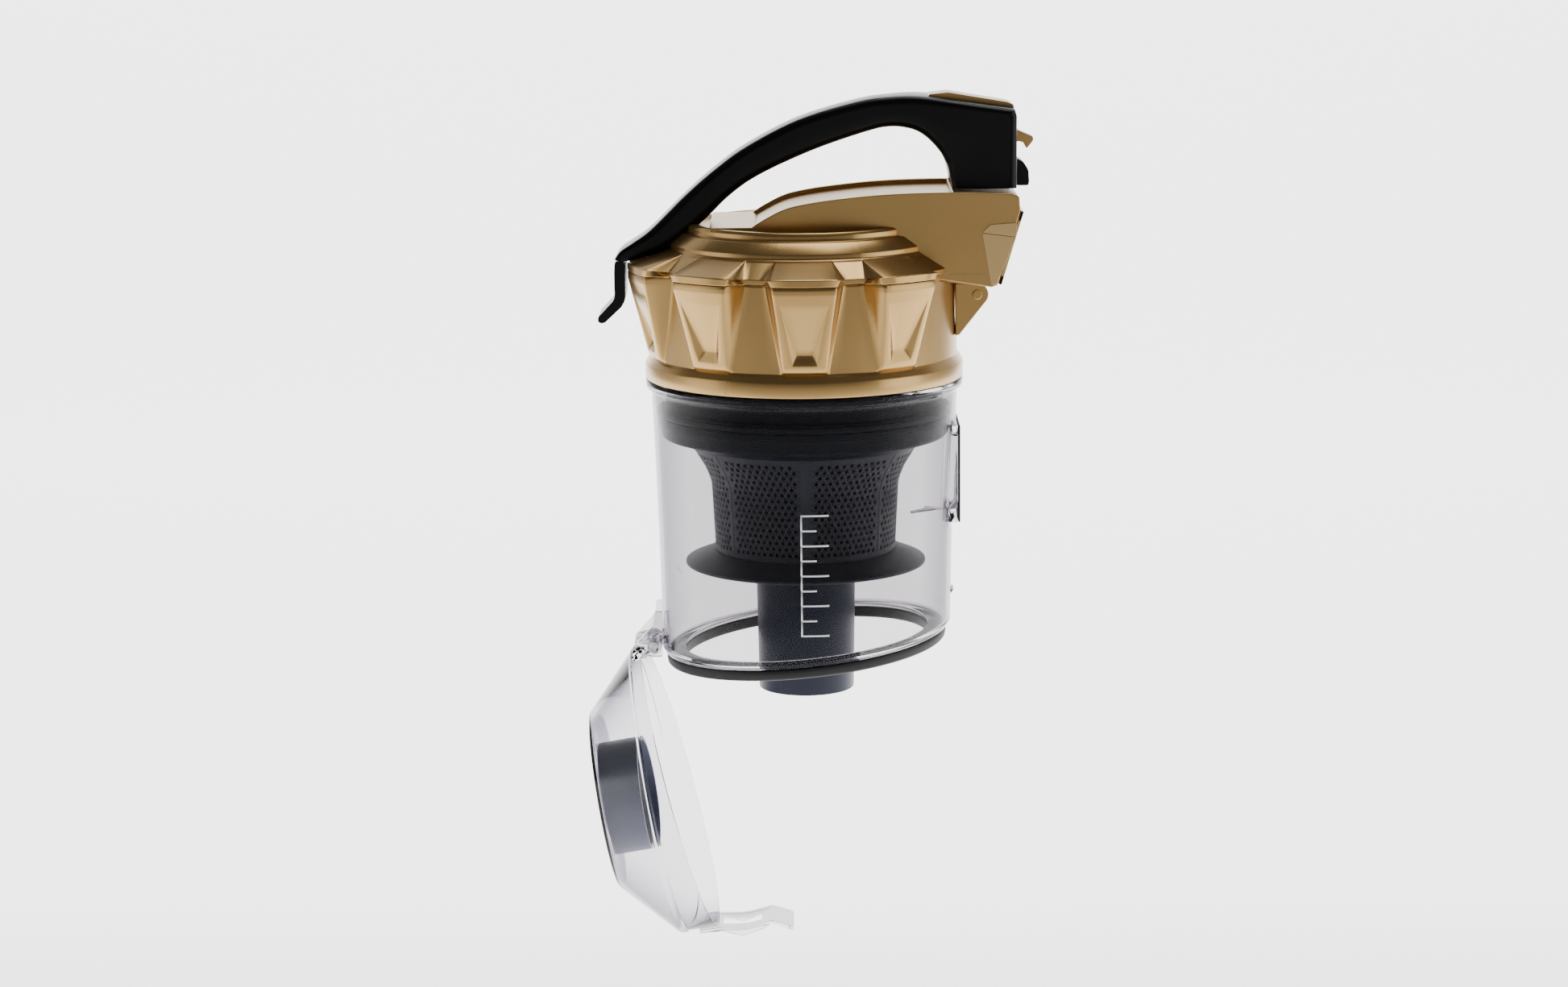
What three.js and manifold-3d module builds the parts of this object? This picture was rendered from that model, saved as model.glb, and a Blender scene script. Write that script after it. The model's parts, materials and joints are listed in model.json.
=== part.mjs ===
// Dust container of a bagless canister vacuum cleaner: a lobed multi-cyclone head with its lid, outlet
// duct and carrying handle on top, a clear dust cup below, and a clear bottom door that hangs open.
// Millimetres, +Z up. The cyclone axis is vertical, the outlet and inlet face +X, the door hinge is at -X.
// The origin is the middle of the hand's hold on the grip.
import * as THREE from 'three';
import { mergeVertices } from 'three/addons/utils/BufferGeometryUtils.js';
import { ConvexGeometry } from 'three/addons/geometries/ConvexGeometry.js';
import Module from 'manifold-3d';

const wasm = await Module();
wasm.setup();

// ---------------------------------------------------------------- driving dimensions
const GAP = 0.3;                 // clearance between neighbouring pieces
const RUN = 0.1;                 // radial running clearance of a pin in its knuckle
const WALL = 2.0;                // wall of the moulded shells
const ROUND = 40;                // facets round the large turned pieces

// clear dust cup; heights are measured from the lower edge of the gold rim
const CUP_TOP_R = 77.2;          // outer radius under the rim
const CUP_FOOT_R = 73.2;         // outer radius at the foot
const CUP_DROP = 136.5;          // rim edge to the foot plane, on the axis
const CUP_CURVE = 1.6;           // how fast the cup flares towards its top
const CUP_LIP = 5.4;             // height of the thick lip under the rim
const FOOT_SLANT = THREE.MathUtils.degToRad(5.3);
const FOOT_FLANGE = 11.8;        // width of the flange round the mouth of the cup
const GASKET_H = 5.7;            // height of the soft ring under the flange
const GASKET_INSET = 2.6;        // gasket's outer face inside the foot radius

// inlet on the +X side of the cup
const INLET_TOP = -25.6;
const INLET_H = 48.8;
const INLET_W = 42;
const INLET_FACE = 77.4;         // distance of the sealing face from the axis
const INLET_BORDER = 6;          // width of the frame round the hole
const INLET_SEAL_T = 1.0;

// gold cyclone housing
const RIM_R = 79.6;
const RIM_H = 9.2;
const BODY_R = 76.6;             // wall between the lobes, above the rim
const SPLIT_Z = 52.8;            // seam between housing and lid
const LOBE_STEP = 36;            // degrees between lobes
const LOBES = [-2, -1, 0, 1, 4, 5, 6, 7];   // places used; the two at +X make room for the duct
const LOBE_R = 88;
const LOBE_FOOT_R = 78.8;
const LOBE_FOOT_Z = 10.6;
const LOBE_BAND = 3.4;           // upright band under the seam
const LOBE_HALF = 10.3;          // degrees, half width of the outer face at the top
const LOBE_FOOT_HALF = 7.0;      // degrees, half width of the outer face at the foot
const LOBE_FLANK = 4.0;          // degrees, what each flank adds at the wall

// cyclone parts inside
const CONES_R = 62;              // circle of the cone mouths
const CONE_MOUTH_R = 10.5;
const CONE_TIP_R = 4.2;
const CONE_TIP_CIRCLE = 14.5;
const CONE_TIP_Z = -58;
const CONE_WALL = 1.4;
const DECK_T = 2.2;
const FINDER_R = 5.2;
const FINDER_DROP = 16;
const DRUM_R = 68.9;
const DRUM_STEP_Z = -16.6;
const DRUM_FOOT_Z = -31;
const SHROUD_TOP_Z = -36;
const SHROUD_TOP_R = 57.4;
const SHROUD_NECK_Z = -56;
const SHROUD_NECK_R = 47.2;
const SHROUD_FOOT_Z = -90;
const SHROUD_FOOT_R = 45.4;
const SKIRT_R = 60.6;
const SKIRT_DROP = 7.0;
const TUBE_R = 25.1;
const TUBE_TIP_R = 24.1;
const TUBE_TIP_Z = -162.4;

// lid
const LID_R = 78.2;
const LID_BAND = 2.0;            // upright edge between the lobes
const LID_LOBE_BAND = 3.3;       // upright edge of a lobe
const RING_B_R = 66.7;
const RING_B_Z = 64.3;           // underside of the lower ring's lip
const RING_B_LIP = 1.7;
const RING_C_R = 58.4;
const RING_C_Z = 71.6;
const RING_C_H = 4.0;
const RING_C_W = 5.0;
const PLATEAU_Z = 76.1;
const PLATEAU_FROM = -46;

// outlet duct on the lid
const DUCT_HALF = 36;            // half width
const DUCT_START = -25.3;        // where the curved ridge leaves the plateau
const DUCT_TOP_Z = 92.4;
const DUCT_CREST_X = 71;
const DUCT_END = 105.6;          // upper edge of the outlet end
const DUCT_END_Z = 83;
const DUCT_TIP_X = 93.6;         // lower edge of the outlet end
const DUCT_TIP_Z = 45.6;
const DUCT_HEEL_X = 67.3;
const DUCT_HEEL_Z = 49.5;
const DUCT_RIM = 3.0;            // width of the raised side rims on top
const DUCT_RIM_H = 2.2;
const OUTLET_BORDER = 5;
const OUTLET_SEAL_T = 1.6;

// lid hinge, pin along Y
const LID_PIN = { x: 86.0, z: 39.6, r: 2.5 };
const LID_EAR_OUT = 17;          // outer face of each ear from the middle plane
const LID_EAR_T = 4;
const LID_EAR_R = 5.6;

// bottom door hinge, pin along Y
const DOOR_PIN = { x: -77.6, z: -138.8, r: 2.9 };
const DOOR_EAR_OUT = 15;
const DOOR_EAR_T = 3.2;
const DOOR_KNUCKLE_R = 4.4;
const DOOR_OPEN = THREE.MathUtils.degToRad(80.3);

// bottom door, described shut
const DOOR_WRAP = 2.9;           // how far the door's rim reaches up past the gasket's underside
const DOOR_SHOULDER_Z = -152.3;
const DOOR_FLAT_R = 45;
const DOOR_FLAT_Z = -178.4;
const DOOR_CENTRE_R = 22;
const DOOR_BOTTOM_Z = -180.6;
const SOCKET_R = 29;
const SOCKET_T = 2.2;
const DOOR_ARM_W = 27;
const DOOR_ARM_T = 2.4;
const CATCH_OUT = 1.3;           // how far the catch stands off the cup
const CATCH_Z = -113.6;

// handle
const GRIP = { x: 10, z: 122 };  // middle of the hold
const GRIP_HALF = 14;
const POST_HALF = 24;
const INLAY_T = 1.2;
const INLAY_HALF = 10;
const TAB_T = 4;
const TAB_HALF = 14;

// release lever in the handle
const LEVER_PIN = { x: 92, z: 121, r: 1.5 };
const LEVER_HALF = 5;
const BUTTON_HALF = 9;
const LEVER_PLAY = 1.0;

const DEG = Math.PI / 180;
const SLOPE = Math.tan(FOOT_SLANT);

// ---------------------------------------------------------------- materials
const plastic = (color, roughness, metalness = 0, opacity = 1) => new THREE.MeshStandardMaterial({
  color, roughness, metalness, opacity, transparent: opacity < 1,
});
const GOLD = plastic(0xb3935c, 0.32, 0.75);
const BLACK = plastic(0x0b0b0c, 0.12);
const SLATE = plastic(0x2c3340, 0.42);
const CLEAR_SMOKE = plastic(0xcfc9cc, 0.06, 0, 0.35);
const CLEAR = plastic(0xf0f0f4, 0.05, 0, 0.3);
const RUBBER = plastic(0x2b2c2b, 0.7);
const STEEL = plastic(0xb9bbbd, 0.28, 1);
const FOAM = plastic(0x3c3f43, 0.95);
const SOCKET = plastic(0x3a4660, 0.35);

// ---------------------------------------------------------------- shape helpers
function signedVolume(positions, triangles) {
  const [a, b, c] = [new THREE.Vector3(), new THREE.Vector3(), new THREE.Vector3()];
  let volume = 0;
  for (let i = 0; i < triangles.length; i += 3) {
    a.fromArray(positions, 3 * triangles[i]);
    b.fromArray(positions, 3 * triangles[i + 1]);
    c.fromArray(positions, 3 * triangles[i + 2]);
    volume += a.dot(b.cross(c));
  }
  return volume;
}

// Merges shared corners, drops triangles that closed up, and turns the faces outwards.
function weld(geometry) {
  const bare = geometry.clone();
  bare.deleteAttribute('normal');
  bare.deleteAttribute('uv');
  const merged = mergeVertices(bare, 1e-4);
  const index = merged.index.array;
  const kept = [];
  for (let i = 0; i < index.length; i += 3) {
    const [p, q, r] = [index[i], index[i + 1], index[i + 2]];
    if (p !== q && q !== r && r !== p) kept.push(p, q, r);
  }
  if (signedVolume(merged.attributes.position.array, kept) < 0) kept.reverse();
  merged.setIndex(kept);
  return merged;
}

function solid(geometry) {
  const welded = weld(geometry);
  return new wasm.Manifold(new wasm.Mesh({
    numProp: 3,
    vertProperties: new Float32Array(welded.attributes.position.array),
    triVerts: new Uint32Array(welded.index.array),
  }));
}

function shell(body) {
  const mesh = body.getMesh();
  const geometry = new THREE.BufferGeometry();
  geometry.setAttribute('position', new THREE.BufferAttribute(new Float32Array(mesh.vertProperties), 3));
  geometry.setIndex(new THREE.BufferAttribute(new Uint32Array(mesh.triVerts), 1));
  return geometry;
}

// A ring or disc turned about the vertical axis from [radius, height] corners.
function turned(corners, facets = ROUND) {
  const profile = corners.map(([r, z]) => new THREE.Vector2(r, z));
  const onAxis = corners[0][0] === 0 && corners.at(-1)[0] === 0;
  if (!onAxis) profile.push(profile[0].clone());
  return new THREE.LatheGeometry(profile, facets).rotateX(Math.PI / 2);
}

// A side outline of [x, z] corners, extruded along Y and centred on y.
function sideways(corners, width, y = 0, holes = [], bevel = 0) {
  const outline = new THREE.Shape(corners.map(([x, z]) => new THREE.Vector2(x, z)));
  for (const hole of holes) outline.holes.push(new THREE.Path(hole.map(([x, z]) => new THREE.Vector2(x, z))));
  const geometry = new THREE.ExtrudeGeometry(outline, {
    depth: width - 2 * bevel,
    bevelEnabled: bevel > 0,
    bevelThickness: bevel,
    bevelSize: bevel,
    bevelOffset: -bevel,
    bevelSegments: 2,
  });
  return geometry.rotateX(Math.PI / 2).translate(0, y + width / 2 - bevel, 0);
}

// A plan outline of [x, y] corners, extruded upwards from z.
function upright(corners, height, z) {
  const outline = new THREE.Shape(corners.map(([x, y]) => new THREE.Vector2(x, y)));
  return new THREE.ExtrudeGeometry(outline, { depth: height, bevelEnabled: false }).translate(0, 0, z);
}

function block(x0, x1, halfY, z0, z1, y = 0) {
  return new THREE.BoxGeometry(x1 - x0, 2 * halfY, z1 - z0)
    .translate((x0 + x1) / 2, y, (z0 + z1) / 2);
}

function roundBar(x, z, r, halfY, facets = 24) {
  return new THREE.CylinderGeometry(r, r, 2 * halfY, facets).translate(x, 0, z);
}

function arc(x, z, r, fromDeg, toDeg, steps) {
  return Array.from({ length: steps + 1 }, (_, i) => {
    const a = DEG * (fromDeg + ((toDeg - fromDeg) * i) / steps);
    return [x + r * Math.cos(a), z + r * Math.sin(a)];
  });
}

// A smooth run through [x, z] corners.
function smooth(corners, steps) {
  const curve = new THREE.SplineCurve(corners.map(([x, z]) => new THREE.Vector2(x, z)));
  return curve.getSpacedPoints(steps).map((p) => [p.x, p.y]);
}

// Moves an open run of [x, z] corners sideways, to the right of its direction.
function beside(run, distance) {
  return run.map(([x, z], i) => {
    const [x0, z0] = run[Math.max(i - 1, 0)];
    const [x1, z1] = run[Math.min(i + 1, run.length - 1)];
    const length = Math.hypot(x1 - x0, z1 - z0);
    return [x + (distance * (z1 - z0)) / length, z - (distance * (x1 - x0)) / length];
  });
}

// Point at a radius and a bearing in degrees, where 0 faces -Y and 90 faces +X.
function polar(radius, bearing, z) {
  return new THREE.Vector3(radius * Math.sin(DEG * bearing), -radius * Math.cos(DEG * bearing), z);
}

function joined(bodies) {
  return bodies.reduce((all, next) => all.add(next));
}

function cut(body, tools) {
  return tools.reduce((left, tool) => left.subtract(tool), body);
}

// Everything under a plane that slants like the cup's foot and passes the axis at z.
function belowFoot(z) {
  const reach = 400;
  return new THREE.BoxGeometry(reach, reach, reach).translate(0, 0, -reach / 2)
    .rotateY(-FOOT_SLANT).translate(0, 0, z);
}

function slantedRing(corners, z, facets = ROUND) {
  return turned(corners, facets).rotateY(-FOOT_SLANT).translate(0, 0, z);
}

function cupRadius(z) {
  const rise = THREE.MathUtils.clamp(1 + z / CUP_DROP, 0, 1);
  return CUP_FOOT_R + (CUP_TOP_R - CUP_FOOT_R) * rise ** CUP_CURVE;
}

// ---------------------------------------------------------------- the tree of bodies
const model = new THREE.Group();
const container = new THREE.Group();
const lid = new THREE.Group();
const door = new THREE.Group();
container.position.set(-GRIP.x, 0, -GRIP.z);
lid.position.copy(container.position);
door.position.set(DOOR_PIN.x - GRIP.x, 0, DOOR_PIN.z - GRIP.z);
door.rotation.y = DOOR_OPEN;
model.add(container, lid, door);

function piece(group, name, geometry, material) {
  const mesh = new THREE.Mesh(weld(geometry), material);
  mesh.name = name;
  group.add(mesh);
  return mesh;
}

// ---------------------------------------------------------------- lobes shared by housing and lid
function lobeHull(radius, footRadius, half, footHalf, flank, footZ, topZ, inset) {
  const faceSteps = 3;
  const points = [];
  for (let i = 0; i <= faceSteps; i += 1) {
    const share = (2 * i) / faceSteps - 1;
    points.push(polar(radius, share * half, topZ));
    points.push(polar(radius, share * half, SPLIT_Z - LOBE_BAND));
    points.push(polar(footRadius, share * footHalf, footZ));
  }
  for (const side of [-1, 1]) {
    points.push(polar(BODY_R - inset, side * (half + flank), topZ));
    points.push(polar(BODY_R - inset, side * (footHalf + flank / 2), footZ));
  }
  return new ConvexGeometry(points);
}

// ---------------------------------------------------------------- cyclone housing
function cycloneHousing() {
  const inner = BODY_R - WALL;
  const wall = solid(turned([
    [RIM_R, -2], [RIM_R, RIM_H - 3.6], [RIM_R - 0.9, RIM_H - 2.2], [BODY_R, RIM_H],
    [BODY_R - 0.6, SPLIT_Z], [inner - 0.6, SPLIT_Z], [inner, 2], [RIM_R - WALL, 0], [RIM_R - WALL, -2],
  ]));
  const lobes = LOBES.map((place) => {
    const full = lobeHull(LOBE_R, LOBE_FOOT_R, LOBE_HALF, LOBE_FOOT_HALF, LOBE_FLANK,
      LOBE_FOOT_Z, SPLIT_Z, WALL / 2);
    return solid(full.rotateZ(place * LOBE_STEP * DEG));
  });
  const hollows = LOBES.map((place) => {
    const hollow = lobeHull(LOBE_R - WALL, LOBE_FOOT_R - WALL, LOBE_HALF - 1.4, LOBE_FOOT_HALF - 1.4,
      LOBE_FLANK, LOBE_FOOT_Z + 6, SPLIT_Z + 1, 2 * WALL);
    return solid(hollow.rotateZ(place * LOBE_STEP * DEG));
  });
  const recesses = LOBES.flatMap((place) => [-1, 1].map((side) => solid(lobeGroove(side)
    .rotateZ(place * LOBE_STEP * DEG))));
  const earProfile = [
    [BODY_R - 1.6, LID_PIN.z - 20.4], [BODY_R + 0.6, LID_PIN.z - 20.2],
    ...arc(LID_PIN.x, LID_PIN.z, LID_EAR_R, -45, 90, 6), [BODY_R - 1.6, LID_PIN.z + LID_EAR_R],
  ];
  const earMid = LID_EAR_OUT - LID_EAR_T / 2;
  const ears = [-earMid, earMid].map((y) => solid(sideways(earProfile, LID_EAR_T, y)));
  const bore = solid(roundBar(LID_PIN.x, LID_PIN.z, LID_PIN.r + RUN, LID_EAR_OUT + 2));
  return shell(cut(joined([wall, ...lobes, ...ears]), [...hollows, ...recesses, bore]));
}

// One of the two tapering grooves that frame the raised tongue on a lobe's outer face.
function lobeGroove(side) {
  const depth = 1.2;
  const top = SPLIT_Z - 10;
  const foot = LOBE_FOOT_Z + 5;
  const rise = (z) => LOBE_FOOT_R + ((LOBE_R - LOBE_FOOT_R) * (z - LOBE_FOOT_Z))
    / (SPLIT_Z - LOBE_BAND - LOBE_FOOT_Z);
  const outer = 1.5;
  return new ConvexGeometry([
    polar(rise(top) + outer, side * 7.4, top), polar(rise(top) - 0.1, side * 7.4, top),
    polar(rise(top) + outer, side * 7.0, top),
    polar(rise(foot) + outer, side * 5.2, foot), polar(rise(foot) - depth, side * 5.0, foot),
    polar(rise(foot) + outer, side * 2.6, foot), polar(rise(foot) - depth, side * 3.0, foot),
    polar(rise(foot + 8) + outer, side * 5.6, foot + 8), polar(rise(foot + 8) - depth, side * 5.4, foot + 8),
    polar(rise(foot + 8) + outer, side * 3.4, foot + 8), polar(rise(foot + 8) - depth, side * 3.8, foot + 8),
  ]);
}

piece(container, 'cyclone_housing', cycloneHousing(), GOLD);

// ---------------------------------------------------------------- cones, finders, drum
const DECK_TOP = SPLIT_Z - DECK_T - GAP;
const DECK_R = BODY_R - WALL - 0.6 - GAP;

// A tapered bar between two points.
function spindle(from, to, radiusFrom, radiusTo, facets) {
  const way = new THREE.Vector3().subVectors(to, from);
  const turn = new THREE.Quaternion().setFromUnitVectors(new THREE.Vector3(0, 1, 0), way.clone().normalize());
  return new THREE.CylinderGeometry(radiusTo, radiusFrom, way.length(), facets)
    .applyQuaternion(turn)
    .translate((from.x + to.x) / 2, (from.y + to.y) / 2, (from.z + to.z) / 2);
}

function coneCluster() {
  const facets = 12;
  const mouthZ = DECK_TOP - DECK_T / 2;
  const deck = solid(turned([[16, DECK_TOP - DECK_T], [DECK_R, DECK_TOP - DECK_T],
    [DECK_R, DECK_TOP], [16, DECK_TOP]]));
  const bars = LOBES.map((place) => {
    const bearing = place * LOBE_STEP;
    return solid(spindle(polar(CONES_R, bearing, mouthZ), polar(CONE_TIP_CIRCLE, bearing, CONE_TIP_Z),
      CONE_MOUTH_R + CONE_WALL, CONE_TIP_R + CONE_WALL, facets));
  });
  const bores = LOBES.map((place) => {
    const bearing = place * LOBE_STEP;
    const along = (CONES_R - CONE_TIP_CIRCLE) / (mouthZ - CONE_TIP_Z);
    const over = 6;
    return solid(spindle(polar(CONES_R + over * along, bearing, mouthZ + over),
      polar(CONE_TIP_CIRCLE - over * along, bearing, CONE_TIP_Z - over),
      CONE_MOUTH_R, CONE_TIP_R, facets));
  });
  const trim = solid(turned([[0, DECK_TOP], [120, DECK_TOP], [120, DECK_TOP + 20], [0, DECK_TOP + 20]]));
  return shell(cut(joined([deck, ...bars]), [...bores, trim]));
}

piece(container, 'cone_cluster', coneCluster(), SLATE);

const SCREW_PLACES = [18, 126, 234];
const PLATE_SCREW_CIRCLE = 45;
const PLATE_SCREW_R = 1.5;

function finderPlate() {
  const bottom = DECK_TOP + GAP;
  const plate = solid(turned([[0, bottom], [DECK_R, bottom], [DECK_R, SPLIT_Z], [0, SPLIT_Z]]));
  const tubes = LOBES.map((place) => solid(spindle(polar(CONES_R, place * LOBE_STEP, SPLIT_Z - 1),
    polar(CONES_R - 6, place * LOBE_STEP, bottom - FINDER_DROP), FINDER_R, FINDER_R - 0.8, 12)));
  const bores = LOBES.map((place) => solid(spindle(polar(CONES_R + 1.2, place * LOBE_STEP, SPLIT_Z + 2),
    polar(CONES_R - 7.2, place * LOBE_STEP, bottom - FINDER_DROP - 3), FINDER_R - 1.3, FINDER_R - 2.1, 12)));
  const holes = SCREW_PLACES.map((bearing) => solid(spindle(polar(PLATE_SCREW_CIRCLE, bearing, SPLIT_Z + 2),
    polar(PLATE_SCREW_CIRCLE, bearing, bottom - 2), PLATE_SCREW_R + GAP, PLATE_SCREW_R + GAP, 12)));
  return shell(cut(joined([plate, ...tubes]), [...bores, ...holes]));
}

piece(container, 'vortex_finder_plate', finderPlate(), SLATE);

SCREW_PLACES.forEach((bearing, i) => {
  const head = 1.6;
  const screw = turned([
    [0, DECK_TOP + 2 * GAP - 0.4], [PLATE_SCREW_R, DECK_TOP + 2 * GAP - 0.4], [PLATE_SCREW_R, SPLIT_Z + GAP],
    [PLATE_SCREW_R + 1.4, SPLIT_Z + GAP], [PLATE_SCREW_R + 1.1, SPLIT_Z + GAP + head],
    [0, SPLIT_Z + GAP + head],
  ], 12);
  const place = polar(PLATE_SCREW_CIRCLE, bearing, 0);
  piece(container, `plate_screw_${i + 1}`, screw.translate(place.x, place.y, 0), STEEL);
});

const SEAL_R = cupRadius(DRUM_STEP_Z) - WALL - GAP;
const STEP_H = 3.4;

function cycloneBase() {
  const lowR = cupRadius(DRUM_FOOT_Z) - WALL - 0.9;
  const bottom = DRUM_STEP_Z - STEP_H - GAP;
  return turned([
    [DRUM_R, 1.0], [DRUM_R, DRUM_STEP_Z + GAP], [SEAL_R - 3.2, DRUM_STEP_Z + GAP],
    [SEAL_R - 3.2, bottom], [lowR + 0.6, bottom], [lowR, DRUM_FOOT_Z],
    [lowR - 1.4, DRUM_FOOT_Z - 0.8], [SHROUD_TOP_R + 0.6, SHROUD_TOP_Z + GAP],
    [SHROUD_TOP_R - 6, SHROUD_TOP_Z + GAP], [SHROUD_TOP_R - 6, SHROUD_TOP_Z + 2.4],
    [lowR - 3, DRUM_FOOT_Z + 2], [DRUM_R - WALL, bottom + 1], [DRUM_R - WALL, 1.0],
  ]);
}

piece(container, 'cyclone_base', cycloneBase(), SLATE);
piece(container, 'base_seal', turned([
  [SEAL_R - 3.2 + GAP, DRUM_STEP_Z], [SEAL_R - 0.8, DRUM_STEP_Z], [SEAL_R, DRUM_STEP_Z - 1.0],
  [SEAL_R, DRUM_STEP_Z - STEP_H + 1], [SEAL_R - 0.8, DRUM_STEP_Z - STEP_H],
  [SEAL_R - 3.2 + GAP, DRUM_STEP_Z - STEP_H],
]), RUBBER);

// ---------------------------------------------------------------- shroud, skirt and dust tube
const SHROUD_WALL = 1.6;
piece(container, 'mesh_shroud', turned([
  [SHROUD_TOP_R, SHROUD_TOP_Z], [SHROUD_NECK_R + 3.2, SHROUD_NECK_Z + 7], [SHROUD_NECK_R, SHROUD_NECK_Z],
  [SHROUD_FOOT_R, SHROUD_FOOT_Z], [SHROUD_FOOT_R - SHROUD_WALL, SHROUD_FOOT_Z],
  [SHROUD_NECK_R - SHROUD_WALL, SHROUD_NECK_Z], [SHROUD_NECK_R + 3.2 - SHROUD_WALL, SHROUD_NECK_Z + 7],
  [SHROUD_TOP_R - SHROUD_WALL, SHROUD_TOP_Z],
]), SLATE);

const SKIRT_TOP = SHROUD_FOOT_Z - GAP;
piece(container, 'shroud_skirt', turned([
  [TUBE_R + GAP, SKIRT_TOP], [SHROUD_FOOT_R + 0.5, SKIRT_TOP], [SKIRT_R, SKIRT_TOP - SKIRT_DROP + 1.2],
  [SKIRT_R, SKIRT_TOP - SKIRT_DROP], [SHROUD_FOOT_R, SKIRT_TOP - 1.8], [TUBE_R + GAP, SKIRT_TOP - 1.8],
]), SLATE);

const TUBE_TOP_Z = CONE_TIP_Z + 4;
piece(container, 'dust_tube', turned([
  [TUBE_R, TUBE_TOP_Z], [TUBE_R, SKIRT_TOP - 8], [TUBE_TIP_R, TUBE_TIP_Z], [TUBE_TIP_R - WALL, TUBE_TIP_Z],
  [TUBE_R - WALL, SKIRT_TOP - 8], [TUBE_R - WALL, TUBE_TOP_Z],
], 36), SLATE);

// ---------------------------------------------------------------- clear cup
const FLANGE_MOUTH_R = CUP_FOOT_R - FOOT_FLANGE;
const HINGE_TOP = DOOR_PIN.z + 18.3;

function hingeEar(y) {
  const back = -CUP_FOOT_R + 1.6;
  return solid(sideways([
    [back, HINGE_TOP], [-CUP_FOOT_R - 3.4, HINGE_TOP], [-CUP_FOOT_R - 4.2, HINGE_TOP - 7],
    [DOOR_PIN.x - 10.6, DOOR_PIN.z - 0.4], [DOOR_PIN.x - 7, DOOR_PIN.z - 3.4],
    [DOOR_PIN.x, DOOR_PIN.z - DOOR_PIN.r - 1.9], [back, DOOR_PIN.z - DOOR_PIN.r - 1.9],
  ], DOOR_EAR_T, y));
}

function dustCup() {
  const levels = [-8, -22, -45, -75, -105, -135, -160];
  const outside = levels.map((z) => [cupRadius(z), z]);
  const inside = levels.map((z) => [cupRadius(z) - WALL, z]).reverse();
  const lipR = RIM_R - 0.5;
  const wall = solid(turned([
    [lipR, -2 - GAP], [lipR, -2 - CUP_LIP + 1], [CUP_TOP_R + 0.4, -2 - CUP_LIP],
    ...outside, ...inside, [CUP_TOP_R - WALL, -2 - GAP],
  ]));
  const shallow = 3.4;
  const trimmed = wall.subtract(solid(belowFoot(-CUP_DROP + shallow)));
  const foot = solid(slantedRing([
    [CUP_FOOT_R, shallow + 1], [CUP_FOOT_R - 0.4, shallow - 1], [CUP_FOOT_R - 2, 0],
    [FLANGE_MOUTH_R, 0], [FLANGE_MOUTH_R, WALL], [CUP_FOOT_R - 3.2, WALL + 0.2],
    [CUP_FOOT_R - WALL - 0.2, shallow + 1],
  ], -CUP_DROP));
  const inletMid = INLET_TOP - INLET_H / 2;
  const pad = solid(block(cupRadius(inletMid) - 6, INLET_FACE - INLET_SEAL_T - GAP, INLET_W / 2,
    INLET_TOP - INLET_H, INLET_TOP));
  const keepOut = solid(turned([[0, -8], [0, -160], ...[...inside]]));
  const port = solid(block(40, INLET_FACE + 5, INLET_W / 2 - INLET_BORDER,
    INLET_TOP - INLET_H + INLET_BORDER, INLET_TOP - INLET_BORDER));
  const catchR = cupRadius(CATCH_Z);
  const nub = solid(sideways([
    [catchR - 1.4, CATCH_Z - 2.4], [catchR + CATCH_OUT, CATCH_Z + 0.8], [catchR + CATCH_OUT, CATCH_Z + 2.2],
    [catchR - 1.4, CATCH_Z + 2.2],
  ], 7));
  const earMid = DOOR_EAR_OUT - DOOR_EAR_T / 2;
  const bore = solid(roundBar(DOOR_PIN.x, DOOR_PIN.z, DOOR_PIN.r + RUN, DOOR_EAR_OUT + 2));
  const seatRoom = solid(slantedRing([[0, -0.01], [120, -0.01], [120, -30], [0, -30]], -CUP_DROP));
  const ears = [-earMid, earMid].map((y) => hingeEar(y).subtract(seatRoomAt(bore, seatRoom)));
  const whole = joined([trimmed, foot, pad.subtract(keepOut), nub, ...ears]);
  return shell(cut(whole, [port]));
}

// The ears keep clear of the hinge pin and of the soft ring's seat.
function seatRoomAt(bore, seatRoom) {
  const seat = seatRoom.intersect(solid(turned([[0, 0], [CUP_FOOT_R - 1, 0], [CUP_FOOT_R - 1, -200], [0, -200]])));
  return bore.add(seat);
}

piece(container, 'dust_cup', dustCup(), CLEAR_SMOKE);

const GASKET_R = CUP_FOOT_R - GASKET_INSET;
piece(container, 'cup_gasket', slantedRing([
  [GASKET_R, -GAP], [GASKET_R, -GASKET_H + 1], [GASKET_R - 1, -GASKET_H],
  [FLANGE_MOUTH_R + 0.4, -GASKET_H], [FLANGE_MOUTH_R, -GASKET_H + 1], [FLANGE_MOUTH_R, -GAP],
], -CUP_DROP), RUBBER);

function inletSeal() {
  const z0 = INLET_TOP - INLET_H;
  const face = solid(block(INLET_FACE - INLET_SEAL_T, INLET_FACE, INLET_W / 2, z0, INLET_TOP));
  const hole = solid(block(INLET_FACE - 9, INLET_FACE + 9, INLET_W / 2 - INLET_BORDER + 0.5,
    z0 + INLET_BORDER - 0.5, INLET_TOP - INLET_BORDER + 0.5));
  return shell(face.subtract(hole));
}

piece(container, 'inlet_seal', inletSeal(), RUBBER);

// Curved guide inside the cup that turns the incoming air round the shroud.
function inletGuide() {
  const bearings = Array.from({ length: 9 }, (_, i) => 52 + 3.2 * i);
  const outerR = cupRadius(INLET_TOP - INLET_H) - WALL - GAP;
  const ledge = (r, b) => [r * Math.sin(DEG * b), -r * Math.cos(DEG * b)];
  const outline = [...bearings.map((b) => ledge(outerR, b)),
    ...[...bearings].reverse().map((b, i) => ledge(outerR - 2 - 2 * i, b))];
  return upright(outline, 1.6, INLET_TOP - INLET_H + 3);
}

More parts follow.
